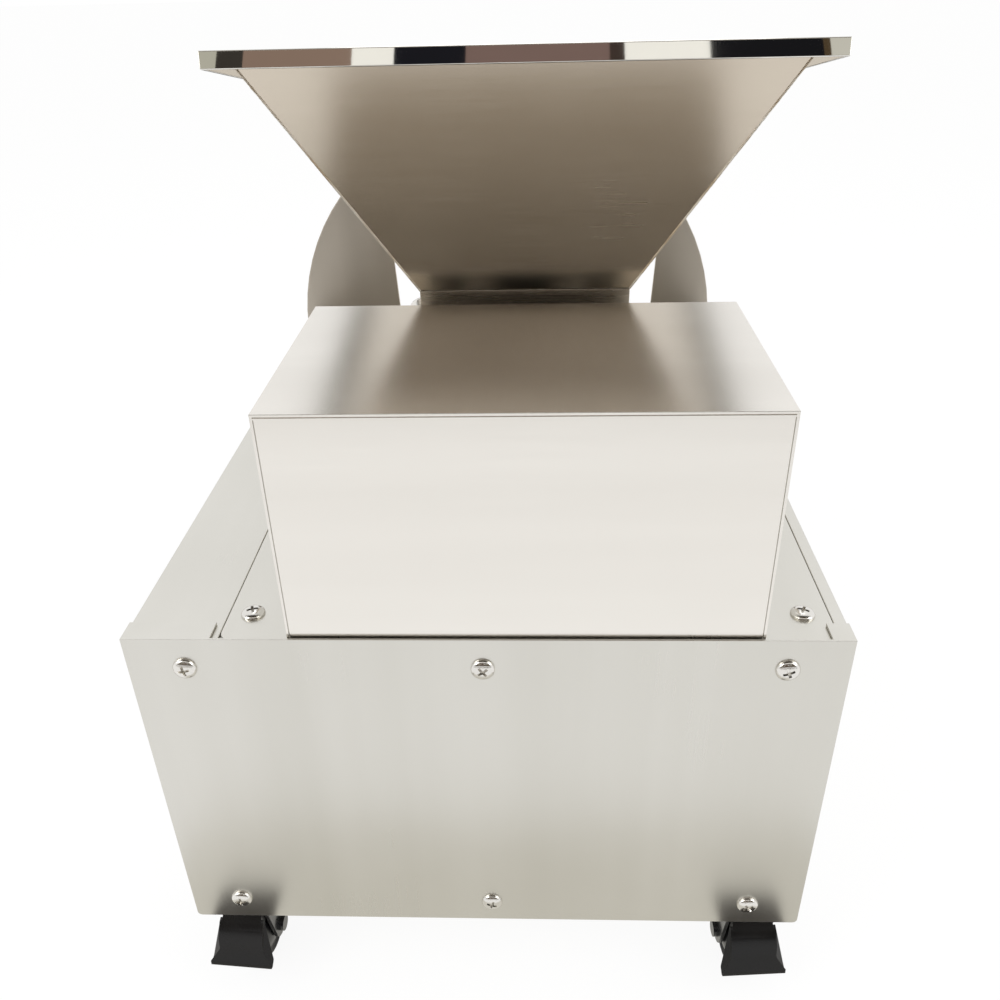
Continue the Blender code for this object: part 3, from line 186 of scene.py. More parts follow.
# Painted shade seen only by mirror rays: a grey card for the machine's shadow on the floor at its foot,
# and a dark card in front of each castor pedal for the shade there.
level_card("foot_shade", -0.26, 0.26, -0.40, -0.16, 0.002, (0.74, 0.72, 0.66))
shade_near = panel_low.y - 0.006
shade_far = shade_near - 0.030
shade_height = 0.052
for side in ("left", "right"):
    pedal_low, pedal_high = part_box("brake_pedal_front_" + side)
    level_card("castor_shade_" + side, pedal_low.x, pedal_high.x, shade_far, shade_near, shade_height,
               (0.05, 0.045, 0.04))
# Windows, doors and shelves on the wall, which the polished rim mirrors as a row of bands.
for number, (left, right, color) in enumerate((
        (-1.30, -0.91, (0.50, 0.49, 0.42)), (-0.91, -0.83, (0.045, 0.04, 0.035)),
        (-0.83, -0.506, (0.27, 0.19, 0.15)),
        (-0.506, -0.381, (1.0, 0.99, 0.95)), (-0.381, -0.17, (0.012, 0.012, 0.016)),
        (-0.17, 0.25, (0.20, 0.135, 0.12)), (0.25, 0.294, (0.05, 0.035, 0.03)),
        (0.294, 0.541, (1.0, 0.99, 0.95)), (0.541, 0.866, (0.010, 0.010, 0.012)),
        (0.886, 1.3, (0.62, 0.61, 0.55)))):
    standing_card("wall_panel_%d" % number, left, right, 0.9, 1.4, wall_y + 0.02, color)


def soft_box(name, place, aim, width, height, power):
    """A large soft lamp, aimed at one spot."""
    lamp = bpy.data.lights.new(name, "AREA")
    lamp.shape = "RECTANGLE"
    lamp.size = width
    lamp.size_y = height
    lamp.energy = power
    lamp.color = (1.0, 0.995, 0.985)
    holder = bpy.data.objects.new(name, lamp)
    bpy.context.scene.collection.objects.link(holder)
    holder.location = place
    holder.rotation_euler = (Vector(aim) - Vector(place)).to_track_quat("-Z", "Y").to_euler()


soft_box("left_soft_box", (-1.5, -1.2, 1.5), (0, 0, 0.3), 1.0, 1.4, 14)
soft_box("right_soft_box", (1.6, -0.9, 1.3), (0, 0, 0.3), 0.9, 1.2, 8)
soft_box("back_soft_box", (0.1, 1.2, 3.0), (0, 0, 0.35), 1.4, 0.9, 12)

# ---------------------------------------------------------------- cabinet sheet metal
# Folded panels of 1.5 mm stainless with a fine brushed grain, laser cut, bent and spot welded,
# with a light film of handling marks. The end panel is 3 mm plate, cut to a full arch.


def brush_group():
    """Brushing lines, broad streaks and cloudy handling marks, on object coordinates."""
    group = bpy.data.node_groups.new("brushed_sheet", "ShaderNodeTree")
    face = group.interface
    for name, default in (("Line Scale", 700.0), ("Streak Scale", 26.0), ("Cloud Scale", 7.0)):
        socket = face.new_socket(name, in_out="INPUT", socket_type="NodeSocketFloat")
        socket.default_value = default
    stretch = face.new_socket("Stretch", in_out="INPUT", socket_type="NodeSocketVector")
    stretch.default_value = (1.0, 1.0, 0.02)
    for name in ("Lines", "Streaks", "Clouds"):
        face.new_socket(name, in_out="OUTPUT", socket_type="NodeSocketFloat")
    nodes, links = group.nodes, group.links
    entry = nodes.new("NodeGroupInput")
    leave = nodes.new("NodeGroupOutput")
    place = nodes.new("ShaderNodeTexCoord")
    mapping = nodes.new("ShaderNodeMapping")
    links.new(place.outputs["Object"], mapping.inputs["Vector"])
    links.new(entry.outputs["Stretch"], mapping.inputs["Scale"])
    for name, vector, detail in (("Line", mapping.outputs["Vector"], 3.0),
                                 ("Streak", mapping.outputs["Vector"], 2.0),
                                 ("Cloud", place.outputs["Object"], 4.0)):
        noise = nodes.new("ShaderNodeTexNoise")
        noise.inputs["Detail"].default_value = detail
        links.new(vector, noise.inputs["Vector"])
        links.new(entry.outputs[name + " Scale"], noise.inputs["Scale"])
        links.new(noise.outputs["Fac"], leave.inputs[name + "s"])
    return group


BRUSHED = brush_group()


def scaled(nodes, links, value, low, high):
    """Map a 0 to 1 pattern, which mostly lies between 0.3 and 0.7, to a range."""
    spread = nodes.new("ShaderNodeMapRange")
    spread.inputs["From Min"].default_value = 0.3
    spread.inputs["From Max"].default_value = 0.7
    spread.inputs["To Min"].default_value = low
    spread.inputs["To Max"].default_value = high
    links.new(value, spread.inputs["Value"])
    return spread.outputs["Result"]


def tinted(nodes, links, factor, pale, dark):
    """Blend from the dark tint at 0 to the pale one at 1."""
    mix = nodes.new("ShaderNodeMix")
    mix.data_type = "RGBA"
    mix.inputs["A"].default_value = (*dark, 1.0)
    mix.inputs["B"].default_value = (*pale, 1.0)
    links.new(factor, mix.inputs["Factor"])
    return mix.outputs["Result"]


LINE_CONTRAST = 0.012
CLOUD_CONTRAST = 0.025


def stainless(name, stretch, pale, dark, roughness):
    """Brushed sheet whose grain runs along the axis that stretch shrinks."""
    metal = bpy.data.materials.new(name)
    metal.use_nodes = True
    nodes, links = metal.node_tree.nodes, metal.node_tree.links
    shader = nodes["Principled BSDF"]
    shader.inputs["Metallic"].default_value = 1.0
    grain = nodes.new("ShaderNodeGroup")
    grain.node_tree = BRUSHED
    grain.inputs["Stretch"].default_value = stretch
    worn = nodes.new("ShaderNodeMath")
    worn.operation = "ADD"
    links.new(scaled(nodes, links, grain.outputs["Streaks"], 0.0, 0.55), worn.inputs[0])
    links.new(scaled(nodes, links, grain.outputs["Clouds"], 0.0, 0.45), worn.inputs[1])
    links.new(tinted(nodes, links, worn.outputs[0], pale, dark), shader.inputs["Base Color"])
    rough = nodes.new("ShaderNodeMath")
    rough.operation = "ADD"
    links.new(scaled(nodes, links, grain.outputs["Lines"], roughness - LINE_CONTRAST,
                     roughness + LINE_CONTRAST), rough.inputs[0])
    links.new(scaled(nodes, links, grain.outputs["Clouds"], -CLOUD_CONTRAST, CLOUD_CONTRAST), rough.inputs[1])
    links.new(rough.outputs[0], shader.inputs["Roughness"])
    bump = nodes.new("ShaderNodeBump")
    bump.inputs["Strength"].default_value = 0.003
    bump.inputs["Distance"].default_value = 0.00002
    links.new(grain.outputs["Lines"], bump.inputs["Height"])
    links.new(bump.outputs["Normal"], shader.inputs["Normal"])
    return metal


def merged_copy(node):
    """The CAD piece's shape as clean faces, because its own mesh is loose triangles."""
    shape = bmesh.new()
    shape.from_mesh(frame["nodes"][node].data)
    bmesh.ops.remove_doubles(shape, verts=shape.verts, dist=0.00001)
    bmesh.ops.dissolve_limit(shape, angle_limit=math.radians(0.6), verts=shape.verts, edges=shape.edges)
    return shape


def round_edges(piece, material, width, segments=2):
    """Round a piece's edges, keep its flat faces flat, and leave a plain mesh."""
    piece.data.shade_smooth()
    edge = piece.modifiers.new("rounded_edges", "BEVEL")
    edge.width = width
    edge.segments = segments
    edge.limit_method = "ANGLE"
    edge.angle_limit = math.radians(32)
    edge.use_clamp_overlap = True
    flat = piece.modifiers.new("flat_faces", "WEIGHTED_NORMAL")
    flat.weight = 100
    graph = bpy.context.evaluated_depsgraph_get()
    finished = bpy.data.meshes.new_from_object(piece.evaluated_get(graph))
    piece.modifiers.clear()
    finished.materials.clear()
    finished.materials.append(material)
    piece.data = finished


def rounded_piece(node, body, material, width, segments=2):
    """Replace a CAD piece with a copy that has its folds and cut edges rounded."""
    shape = merged_copy(node)
    mesh = bpy.data.meshes.new(node + "_finished")
    shape.to_mesh(mesh)
    shape.free()
    piece = bpy.data.objects.new(node + "_finished", mesh)
    bpy.context.scene.collection.objects.link(piece)
    round_edges(piece, material, width, segments)
    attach(piece, body)
    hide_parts(node)
    return piece


PALE_STEEL = (0.725, 0.71, 0.665)
DULL_STEEL = (0.655, 0.64, 0.59)
upright_steel = stainless("sheet_grain_upright", (1.0, 1.0, 0.02), PALE_STEEL, DULL_STEEL, 0.30)
lengthwise_steel = stainless("sheet_grain_lengthwise", (1.0, 0.02, 1.0), PALE_STEEL, DULL_STEEL, 0.30)
crosswise_steel = stainless("sheet_grain_crosswise", (0.02, 1.0, 1.0), PALE_STEEL, DULL_STEEL, 0.32)

# Tinted darker and browner than the other sheet: painted shade and reflection on the end plate.
shaded_end_plate_steel = stainless("end_plate_painted_shade", (1.0, 1.0, 0.05), (0.56, 0.51, 0.44), (0.44, 0.40, 0.34), 0.36)

for node, material, width in (
        ("front_panel", upright_steel, 0.0005), ("left_side_panel", lengthwise_steel, 0.0006),
        ("right_side_panel", lengthwise_steel, 0.0006), ("deck_plate", lengthwise_steel, 0.0005),
        ("base_plate", lengthwise_steel, 0.0005), ("bulkhead", upright_steel, 0.0004),
        ("rear_end_panel", shaded_end_plate_steel, 0.0008)):
    rounded_piece(node, "cabinet", material, width)

# ---------------------------------------------------------------- drive cover
# One sheet folded over the chain and belt, with two side cheeks let in behind its front, so a
# hairline joint shows beside each front corner and under the top fold. Its grain runs crosswise.


def grooved_cover():
    """The cover with its hairline joints cut in and its folds rounded."""
    low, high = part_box("drive_cover")
    sheet = 0.0015
    hairline = 0.0004
    depth = 0.0007
    shape = merged_copy("drive_cover")
    mesh = bpy.data.meshes.new("drive_cover_finished")
    shape.to_mesh(mesh)
    shape.free()
    top_corners = [vertex.co for vertex in mesh.vertices if vertex.co.z > high.z - 0.0001]
    left = min(corner.x for corner in top_corners)
    right = max(corner.x for corner in top_corners)
    cover = bpy.data.objects.new("drive_cover_finished", mesh)
    bpy.context.scene.collection.objects.link(cover)
    grooves = []
    before = low.y - 0.001
    for x in (left + sheet, right - sheet - hairline):
        grooves.append(((x, before, low.z + 2 * sheet),
                        (x + hairline, low.y + depth, high.z - 2 * sheet)))
    grooves.append(((left + sheet, before, high.z - sheet - hairline),
                    (right - sheet, low.y + depth, high.z - sheet)))
    for start, end in grooves:
        tool_shape = bmesh.new()
        bmesh.ops.create_cube(tool_shape, size=1.0)
        middle = (Vector(start) + Vector(end)) / 2
        bmesh.ops.scale(tool_shape, vec=Vector(end) - Vector(start), verts=tool_shape.verts)
        bmesh.ops.translate(tool_shape, vec=middle, verts=tool_shape.verts)
        tool_mesh = bpy.data.meshes.new("hairline")
        tool_shape.to_mesh(tool_mesh)
        tool_shape.free()
        tool = bpy.data.objects.new("hairline", tool_mesh)
        bpy.context.scene.collection.objects.link(tool)
        cut = cover.modifiers.new("hairline", "BOOLEAN")
        cut.operation = "DIFFERENCE"
        cut.object = tool
        graph = bpy.context.evaluated_depsgraph_get()
        cover.data = bpy.data.meshes.new_from_object(cover.evaluated_get(graph))
        cover.modifiers.clear()
        bpy.data.objects.remove(tool)
    round_edges(cover, cover_steel_painted_light, 0.0007, 3)
    return cover


# Paler than the cabinet's sheet: painted light on the cover.
cover_steel_painted_light = stainless("cover_sheet_painted_light", (0.03, 1.0, 1.0), (0.87, 0.84, 0.79), (0.80, 0.77, 0.72), 0.24)
cover = grooved_cover()
# The flanges and the cheeks are cut from other strips of the sheet, each with its own grain.
flange_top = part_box("drive_cover")[0].z + 0.003
cover.data.materials.append(lengthwise_steel)
cover.data.materials.append(upright_steel)
for face in cover.data.polygons:
    if face.center.z < flange_top and face.normal.z > 0.5:
        face.material_index = 1
    elif abs(face.normal.x) > 0.7:
        face.material_index = 2
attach(cover, "cabinet")
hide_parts("drive_cover")

# ---------------------------------------------------------------- roller housing and hopper
# Welded sheet: an upright duct with a flared hopper let into it. The outside of the seams is
# left as laid, a row of small overlapping ripples, with a little heat colour beside them.


# Tinted tan and darker than the cabinet's sheet, the housing darker still: painted reflection and shade.
hopper_painted_shade_steel = stainless("hopper_sheet_painted_shade", (0.03, 0.03, 1.0), (0.67, 0.60, 0.505), (0.60, 0.53, 0.44), 0.25)
housing_painted_shade_steel = stainless("housing_sheet_painted_shade", (0.03, 0.03, 1.0), (0.57, 0.515, 0.44), (0.50, 0.45, 0.385), 0.28)
rounded_piece("roller_housing", "cabinet", housing_painted_shade_steel, 0.0004)
rounded_piece("hopper", "cabinet", hopper_painted_shade_steel, 0.0005)


def hopper_corners():
    """The hopper's outer corner lines, each from the throat to the mouth."""
    mesh = frame["nodes"]["hopper"].data
    points = {tuple(round(value, 5) for value in vertex.co) for vertex in mesh.vertices}
    low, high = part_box("hopper")
    middle = (low + high) / 2
    housing_low, housing_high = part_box("roller_housing")
    housing_foot = 0.015
    lines = []
    for x_side in (-1, 1):
        for y_side in (-1, 1):
            def outward(point):
                return (point[0] - middle.x) * x_side + (point[1] - middle.y) * y_side
            own = [point for point in points
                   if (point[0] - middle.x) * x_side > 0 and (point[1] - middle.y) * y_side > 0]
            mouth = max(own, key=lambda point: (round(outward(point), 4), -point[2]))
            throat_x = housing_low.x + housing_foot if x_side < 0 else housing_high.x - housing_foot
            throat_y = housing_low.y if y_side < 0 else housing_high.y
            throat = min(own, key=lambda point: (point[0] - throat_x) ** 2 + (point[1] - throat_y) ** 2
                         + (0 if point[2] > housing_low.z + 0.1 else 1))
            lines.append((Vector(throat), Vector(mouth)))
    return lines


def weld_bead_tree():
    """Lay small overlapping ripples along every edge of a wire."""
    tree = bpy.data.node_groups.new("weld_bead", "GeometryNodeTree")
    face = tree.interface
    face.new_socket("Geometry", in_out="INPUT", socket_type="NodeSocketGeometry")
    for name, default in (("Radius", 0.0009), ("Spacing", 0.0011)):
        socket = face.new_socket(name, in_out="INPUT", socket_type="NodeSocketFloat")
        socket.default_value = default
    face.new_socket("Material", in_out="INPUT", socket_type="NodeSocketMaterial")
    face.new_socket("Geometry", in_out="OUTPUT", socket_type="NodeSocketGeometry")
    nodes, links = tree.nodes, tree.links
    entry = nodes.new("NodeGroupInput")
    leave = nodes.new("NodeGroupOutput")
    curve = nodes.new("GeometryNodeMeshToCurve")
    links.new(entry.outputs["Geometry"], curve.inputs["Mesh"])
    points = nodes.new("GeometryNodeCurveToPoints")
    points.mode = "LENGTH"
    links.new(curve.outputs["Curve"], points.inputs["Curve"])
    links.new(entry.outputs["Spacing"], points.inputs["Length"])
    ripple = nodes.new("GeometryNodeMeshUVSphere")
    ripple.inputs["Segments"].default_value = 8
    ripple.inputs["Rings"].default_value = 5
    links.new(entry.outputs["Radius"], ripple.inputs["Radius"])
    size = nodes.new("FunctionNodeRandomValue")
    size.data_type = "FLOAT"
    size.inputs["Min"].default_value = 0.85
    size.inputs["Max"].default_value = 1.1
    size.inputs["Seed"].default_value = 7
    place = nodes.new("GeometryNodeInstanceOnPoints")
    links.new(points.outputs["Points"], place.inputs["Points"])
    links.new(ripple.outputs["Mesh"], place.inputs["Instance"])
    links.new(points.outputs["Rotation"], place.inputs["Rotation"])
    links.new(size.outputs["Value"], place.inputs["Scale"])
    real = nodes.new("GeometryNodeRealizeInstances")
    links.new(place.outputs["Instances"], real.inputs["Geometry"])
    smooth = nodes.new("GeometryNodeSetShadeSmooth")
    links.new(real.outputs["Geometry"], smooth.inputs["Geometry"])
    paint = nodes.new("GeometryNodeSetMaterial")
    links.new(smooth.outputs["Geometry"], paint.inputs["Geometry"])
    links.new(entry.outputs["Material"], paint.inputs["Material"])
    links.new(paint.outputs["Geometry"], leave.inputs["Geometry"])
    return tree


def set_inputs(modifier, **values):
    """Set a Geometry Nodes modifier's inputs, found by name and set by identifier."""
    for item in modifier.node_group.interface.items_tree:
        if item.item_type == "SOCKET" and item.in_out == "INPUT" and item.name in values:
            modifier[item.identifier] = values[item.name]


def grown(name, mesh, tree, **values):
    """Run a tree on a mesh and keep the result as a plain mesh object."""
    seed = bpy.data.objects.new(name, mesh)
    bpy.context.scene.collection.objects.link(seed)
    modifier = seed.modifiers.new(name, "NODES")
    modifier.node_group = tree
    set_inputs(modifier, **values)
    bpy.context.view_layer.update()
    graph = bpy.context.evaluated_depsgraph_get()
    result = bpy.data.meshes.new_from_object(seed.evaluated_get(graph))
    seed.modifiers.clear()
    seed.data = result
    return seed


def weld_colour():
    """Matt grey ripples with patches of straw and blue left by the heat."""
    metal = bpy.data.materials.new("weld_bead")
    metal.use_nodes = True
    nodes, links = metal.node_tree.nodes, metal.node_tree.links
    shader = nodes["Principled BSDF"]
    shader.inputs["Metallic"].default_value = 1.0
    place = nodes.new("ShaderNodeTexCoord")
    noise = nodes.new("ShaderNodeTexNoise")
    noise.inputs["Scale"].default_value = 60.0
    links.new(place.outputs["Object"], noise.inputs["Vector"])
    ramp = nodes.new("ShaderNodeValToRGB")
    ramp.color_ramp.elements[0].position = 0.35
    ramp.color_ramp.elements[0].color = (0.46, 0.38, 0.28, 1.0)
    ramp.color_ramp.elements[1].position = 0.65
    ramp.color_ramp.elements[1].color = (0.78, 0.75, 0.69, 1.0)
    links.new(noise.outputs["Fac"], ramp.inputs["Fac"])
    links.new(ramp.outputs["Color"], shader.inputs["Base Color"])
    links.new(scaled(nodes, links, noise.outputs["Fac"], 0.30, 0.48), shader.inputs["Roughness"])
    return metal


bead_metal = weld_colour()
wire = bpy.data.meshes.new("hopper_seams")
seam_points = []
seam_edges = []
for throat, mouth in hopper_corners():
    seam_edges.append((len(seam_points), len(seam_points) + 1))
    seam_points += [throat, mouth]
wire.from_pydata(seam_points, seam_edges, [])
ripple_radius = 0.0007
ripple_spacing = 0.0008
seams = grown("hopper_weld_seams", wire, weld_bead_tree(), Radius=ripple_radius, Spacing=ripple_spacing,
              Material=bead_metal)
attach(seams, "cabinet")

# ---------------------------------------------------------------- hopper rim
# An angle frame folded from one strip, mitred and welded at its corners, then polished to a mirror.
# Faint polishing swirls and hand marks are left in it; its underside is rougher, painted dark as shade.


def mirror_polish(name, color, roughness):
    """Polished metal with faint cloudy marks."""
    metal = bpy.data.materials.new(name)
    metal.use_nodes = True
    nodes, links = metal.node_tree.nodes, metal.node_tree.links
    shader = nodes["Principled BSDF"]
    shader.inputs["Metallic"].default_value = 1.0
    grain = nodes.new("ShaderNodeGroup")
    grain.node_tree = BRUSHED
    grain.inputs["Cloud Scale"].default_value = 22.0
    faded = tuple(0.93 * value for value in color)
    links.new(tinted(nodes, links, scaled(nodes, links, grain.outputs["Clouds"], 0.0, 1.0), color, faded),
              shader.inputs["Base Color"])
    links.new(scaled(nodes, links, grain.outputs["Clouds"], roughness, 1.6 * roughness + 0.012),
              shader.inputs["Roughness"])
    bump = nodes.new("ShaderNodeBump")
    bump.inputs["Strength"].default_value = 0.05
    bump.inputs["Distance"].default_value = 0.0001
    links.new(grain.outputs["Clouds"], bump.inputs["Height"])
    links.new(bump.outputs["Normal"], shader.inputs["Normal"])
    return metal


rim_metal = mirror_polish("mirror_rim", (0.86, 0.84, 0.79), 0.012)
rim = rounded_piece("hopper_rim", "cabinet", rim_metal, 0.0006, 3)
# Its downward faces get a darker, rougher sheet: the dark tint is painted shade.
rim_underside_painted_shade = stainless("rim_underside_painted_shade_sheet", (0.05, 1.0, 1.0), (0.30, 0.29, 0.26), (0.22, 0.21, 0.18),
                      0.38)
rim.data.materials.append(rim_underside_painted_shade)
for face in rim.data.polygons:
    if face.normal.z < -0.7:
        face.material_index = 1

# ---------------------------------------------------------------- screws and cap bolt
# Stainless truss-head screws with a cross recess, turned in by hand, so each cross stands at its
# own angle. The cap bolt on the neck has a plain dome.


def screw_head_mesh(radius, height):
    """A domed head with a small rim, and a tapered cross sunk in its crown."""
    shape = bmesh.new()
    rings = []
    sides = 40
    steps = 7
    rim = height * 0.16
    levels = [(radius * 0.97, 0.0), (radius, rim * 0.4), (radius, rim)]
    for i in range(1, steps + 1):
        angle = math.pi / 2 * i / (steps + 0.5)
        levels.append((radius * math.cos(angle), rim + (height - rim) * math.sin(angle)))
    for ring_radius, z in levels:
        rings.append([shape.verts.new((ring_radius * math.cos(2 * math.pi * k / sides),
                                       ring_radius * math.sin(2 * math.pi * k / sides), z))
                      for k in range(sides)])
    for lower, upper in zip(rings, rings[1:]):
        for k in range(sides):
            shape.faces.new((lower[k], lower[(k + 1) % sides], upper[(k + 1) % sides], upper[k]))
    shape.faces.new(rings[-1])
    shape.faces.new(list(reversed(rings[0])))
    head = bpy.data.meshes.new("truss_head")
    shape.to_mesh(head)
    shape.free()
    body = bpy.data.objects.new("truss_head", head)
    bpy.context.scene.collection.objects.link(body)
    for quarter in (0, 1):
        arm = bmesh.new()
        bmesh.ops.create_cube(arm, size=1.0)
        for vertex in arm.verts:
            wide = vertex.co.z > 0
            vertex.co.x *= radius * (1.16 if wide else 0.62)
            vertex.co.y *= radius * (0.25 if wide else 0.17)
            vertex.co.z = height * 1.2 if wide else height * 0.28
        bmesh.ops.rotate(arm, verts=arm.verts, cent=(0, 0, 0),
                         matrix=Matrix.Rotation(math.pi / 2 * quarter, 3, "Z"))
        arm_mesh = bpy.data.meshes.new("cross_arm")
        arm.to_mesh(arm_mesh)
        arm.free()
        tool = bpy.data.objects.new("cross_arm", arm_mesh)
        bpy.context.scene.collection.objects.link(tool)
        cut = body.modifiers.new("cross", "BOOLEAN")
        cut.operation = "DIFFERENCE"
        cut.object = tool
        graph = bpy.context.evaluated_depsgraph_get()
        body.data = bpy.data.meshes.new_from_object(body.evaluated_get(graph))
        body.modifiers.clear()
        bpy.data.objects.remove(tool)
    return body


def screw_tree():
    """Stand a head on every point, along the point's own facing and at its own turn."""
    tree = bpy.data.node_groups.new("truss_screws", "GeometryNodeTree")
    face = tree.interface
    face.new_socket("Geometry", in_out="INPUT", socket_type="NodeSocketGeometry")
    face.new_socket("Head", in_out="INPUT", socket_type="NodeSocketObject")
    face.new_socket("Material", in_out="INPUT", socket_type="NodeSocketMaterial")
    face.new_socket("Geometry", in_out="OUTPUT", socket_type="NodeSocketGeometry")
    nodes, links = tree.nodes, tree.links
    entry = nodes.new("NodeGroupInput")
    leave = nodes.new("NodeGroupOutput")
    facing = nodes.new("GeometryNodeInputNamedAttribute")
    facing.data_type = "FLOAT_VECTOR"
    facing.inputs["Name"].default_value = "facing"
    upright = nodes.new("FunctionNodeAlignRotationToVector")
    upright.axis = "Z"
    links.new(facing.outputs["Attribute"], upright.inputs["Vector"])
    spin = nodes.new("GeometryNodeInputNamedAttribute")
    spin.data_type = "FLOAT"
    spin.inputs["Name"].default_value = "turn"
    about = nodes.new("FunctionNodeAxisAngleToRotation")
    about.inputs["Axis"].default_value = (0, 0, 1)
    links.new(spin.outputs["Attribute"], about.inputs["Angle"])
    rotate = nodes.new("FunctionNodeRotateRotation")
    rotate.rotation_space = "LOCAL"
    links.new(upright.outputs["Rotation"], rotate.inputs["Rotation"])
    links.new(about.outputs["Rotation"], rotate.inputs["Rotate By"])
    head = nodes.new("GeometryNodeObjectInfo")
    links.new(entry.outputs["Head"], head.inputs["Object"])
    place = nodes.new("GeometryNodeInstanceOnPoints")
    links.new(entry.outputs["Geometry"], place.inputs["Points"])
    links.new(head.outputs["Geometry"], place.inputs["Instance"])
    links.new(rotate.outputs["Rotation"], place.inputs["Rotation"])
    real = nodes.new("GeometryNodeRealizeInstances")
    links.new(place.outputs["Instances"], real.inputs["Geometry"])
    paint = nodes.new("GeometryNodeSetMaterial")
    links.new(real.outputs["Geometry"], paint.inputs["Geometry"])
    links.new(entry.outputs["Material"], paint.inputs["Material"])
    links.new(paint.outputs["Geometry"], leave.inputs["Geometry"])
    return tree


bright_metal = mirror_polish("bright_screw", (0.80, 0.78, 0.74), 0.14)
screw_nodes = ["front_screw_%d" % number for number in range(1, 7)]
screw_nodes += ["cover_screw_left", "cover_screw_right"]
turns = (12, 38, 22, 5, 71, 33, 20, 64)
head_height = 0.0036
seat_points = []
facings = []
for node in screw_nodes:
    low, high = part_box(node)
    middle = (low + high) / 2
    if node.startswith("front"):
        seat_points.append((middle.x, low.y + head_height, middle.z))
        facings.append((0, -1, 0))
    else:
        seat_points.append((middle.x, middle.y, high.z - head_height))
        facings.append((0, 0, 1))
seats = bpy.data.meshes.new("screw_seats")
seats.from_pydata(seat_points, [], [])
seats.attributes.new("facing", "FLOAT_VECTOR", "POINT")
seats.attributes.new("turn", "FLOAT", "POINT")
for index in range(len(screw_nodes)):
    seats.attributes["facing"].data[index].vector = facings[index]
    seats.attributes["turn"].data[index].value = math.radians(turns[index])
first_low, first_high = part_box("front_screw_1")
head_body = screw_head_mesh((first_high.x - first_low.x) / 2, head_height)
screws = grown("truss_screws", seats, screw_tree(), Head=head_body, Material=bright_metal)
bpy.data.objects.remove(head_body)
screws.data.shade_smooth()
screws.data.set_sharp_from_angle(angle=math.radians(35))
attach(screws, "cabinet")
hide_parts(*screw_nodes)
rounded_piece("neck_cap_bolt", "cabinet", bright_metal, 0.0003)

# ---------------------------------------------------------------- destemming screen
# A trough rolled from sheet punched with round holes, open upward under the rollers, through
# which the berries fall while the stems are carried on to the end.


def punched_cell(width, length, wall, hole):
    """One flat piece of the punched sheet: a rectangle with a round hole through its middle."""
    shape = bmesh.new()
    sides = 24
    corner = math.atan2(length, width)
    angles = sorted({round(2 * math.pi * k / sides, 6) for k in range(sides)}
                    | {round(sign * corner + turn, 6) % round(2 * math.pi, 6)
                       for sign in (1, -1) for turn in (0, math.pi)})
    inner, outer = [], []
    for z in (0.0, wall):
        hole_ring, edge_ring = [], []
        for angle in angles:
            c, s = math.cos(angle), math.sin(angle)
            reach = min(width / 2 / max(abs(c), 1e-6), length / 2 / max(abs(s), 1e-6))
            hole_ring.append(shape.verts.new((hole * c, hole * s, z)))
            edge_ring.append(shape.verts.new((reach * c, reach * s, z)))
        inner.append(hole_ring)
        outer.append(edge_ring)
    count = len(angles)
    for k in range(count):
        j = (k + 1) % count
        shape.faces.new((inner[0][k], inner[0][j], outer[0][j], outer[0][k]))
        shape.faces.new((inner[1][k], outer[1][k], outer[1][j], inner[1][j]))
        shape.faces.new((inner[0][k], inner[1][k], inner[1][j], inner[0][j]))
    mesh = bpy.data.meshes.new("punched_cell")
    shape.to_mesh(mesh)
    shape.free()
    cell = bpy.data.objects.new("punched_cell", mesh)
    bpy.context.scene.collection.objects.link(cell)
    return cell


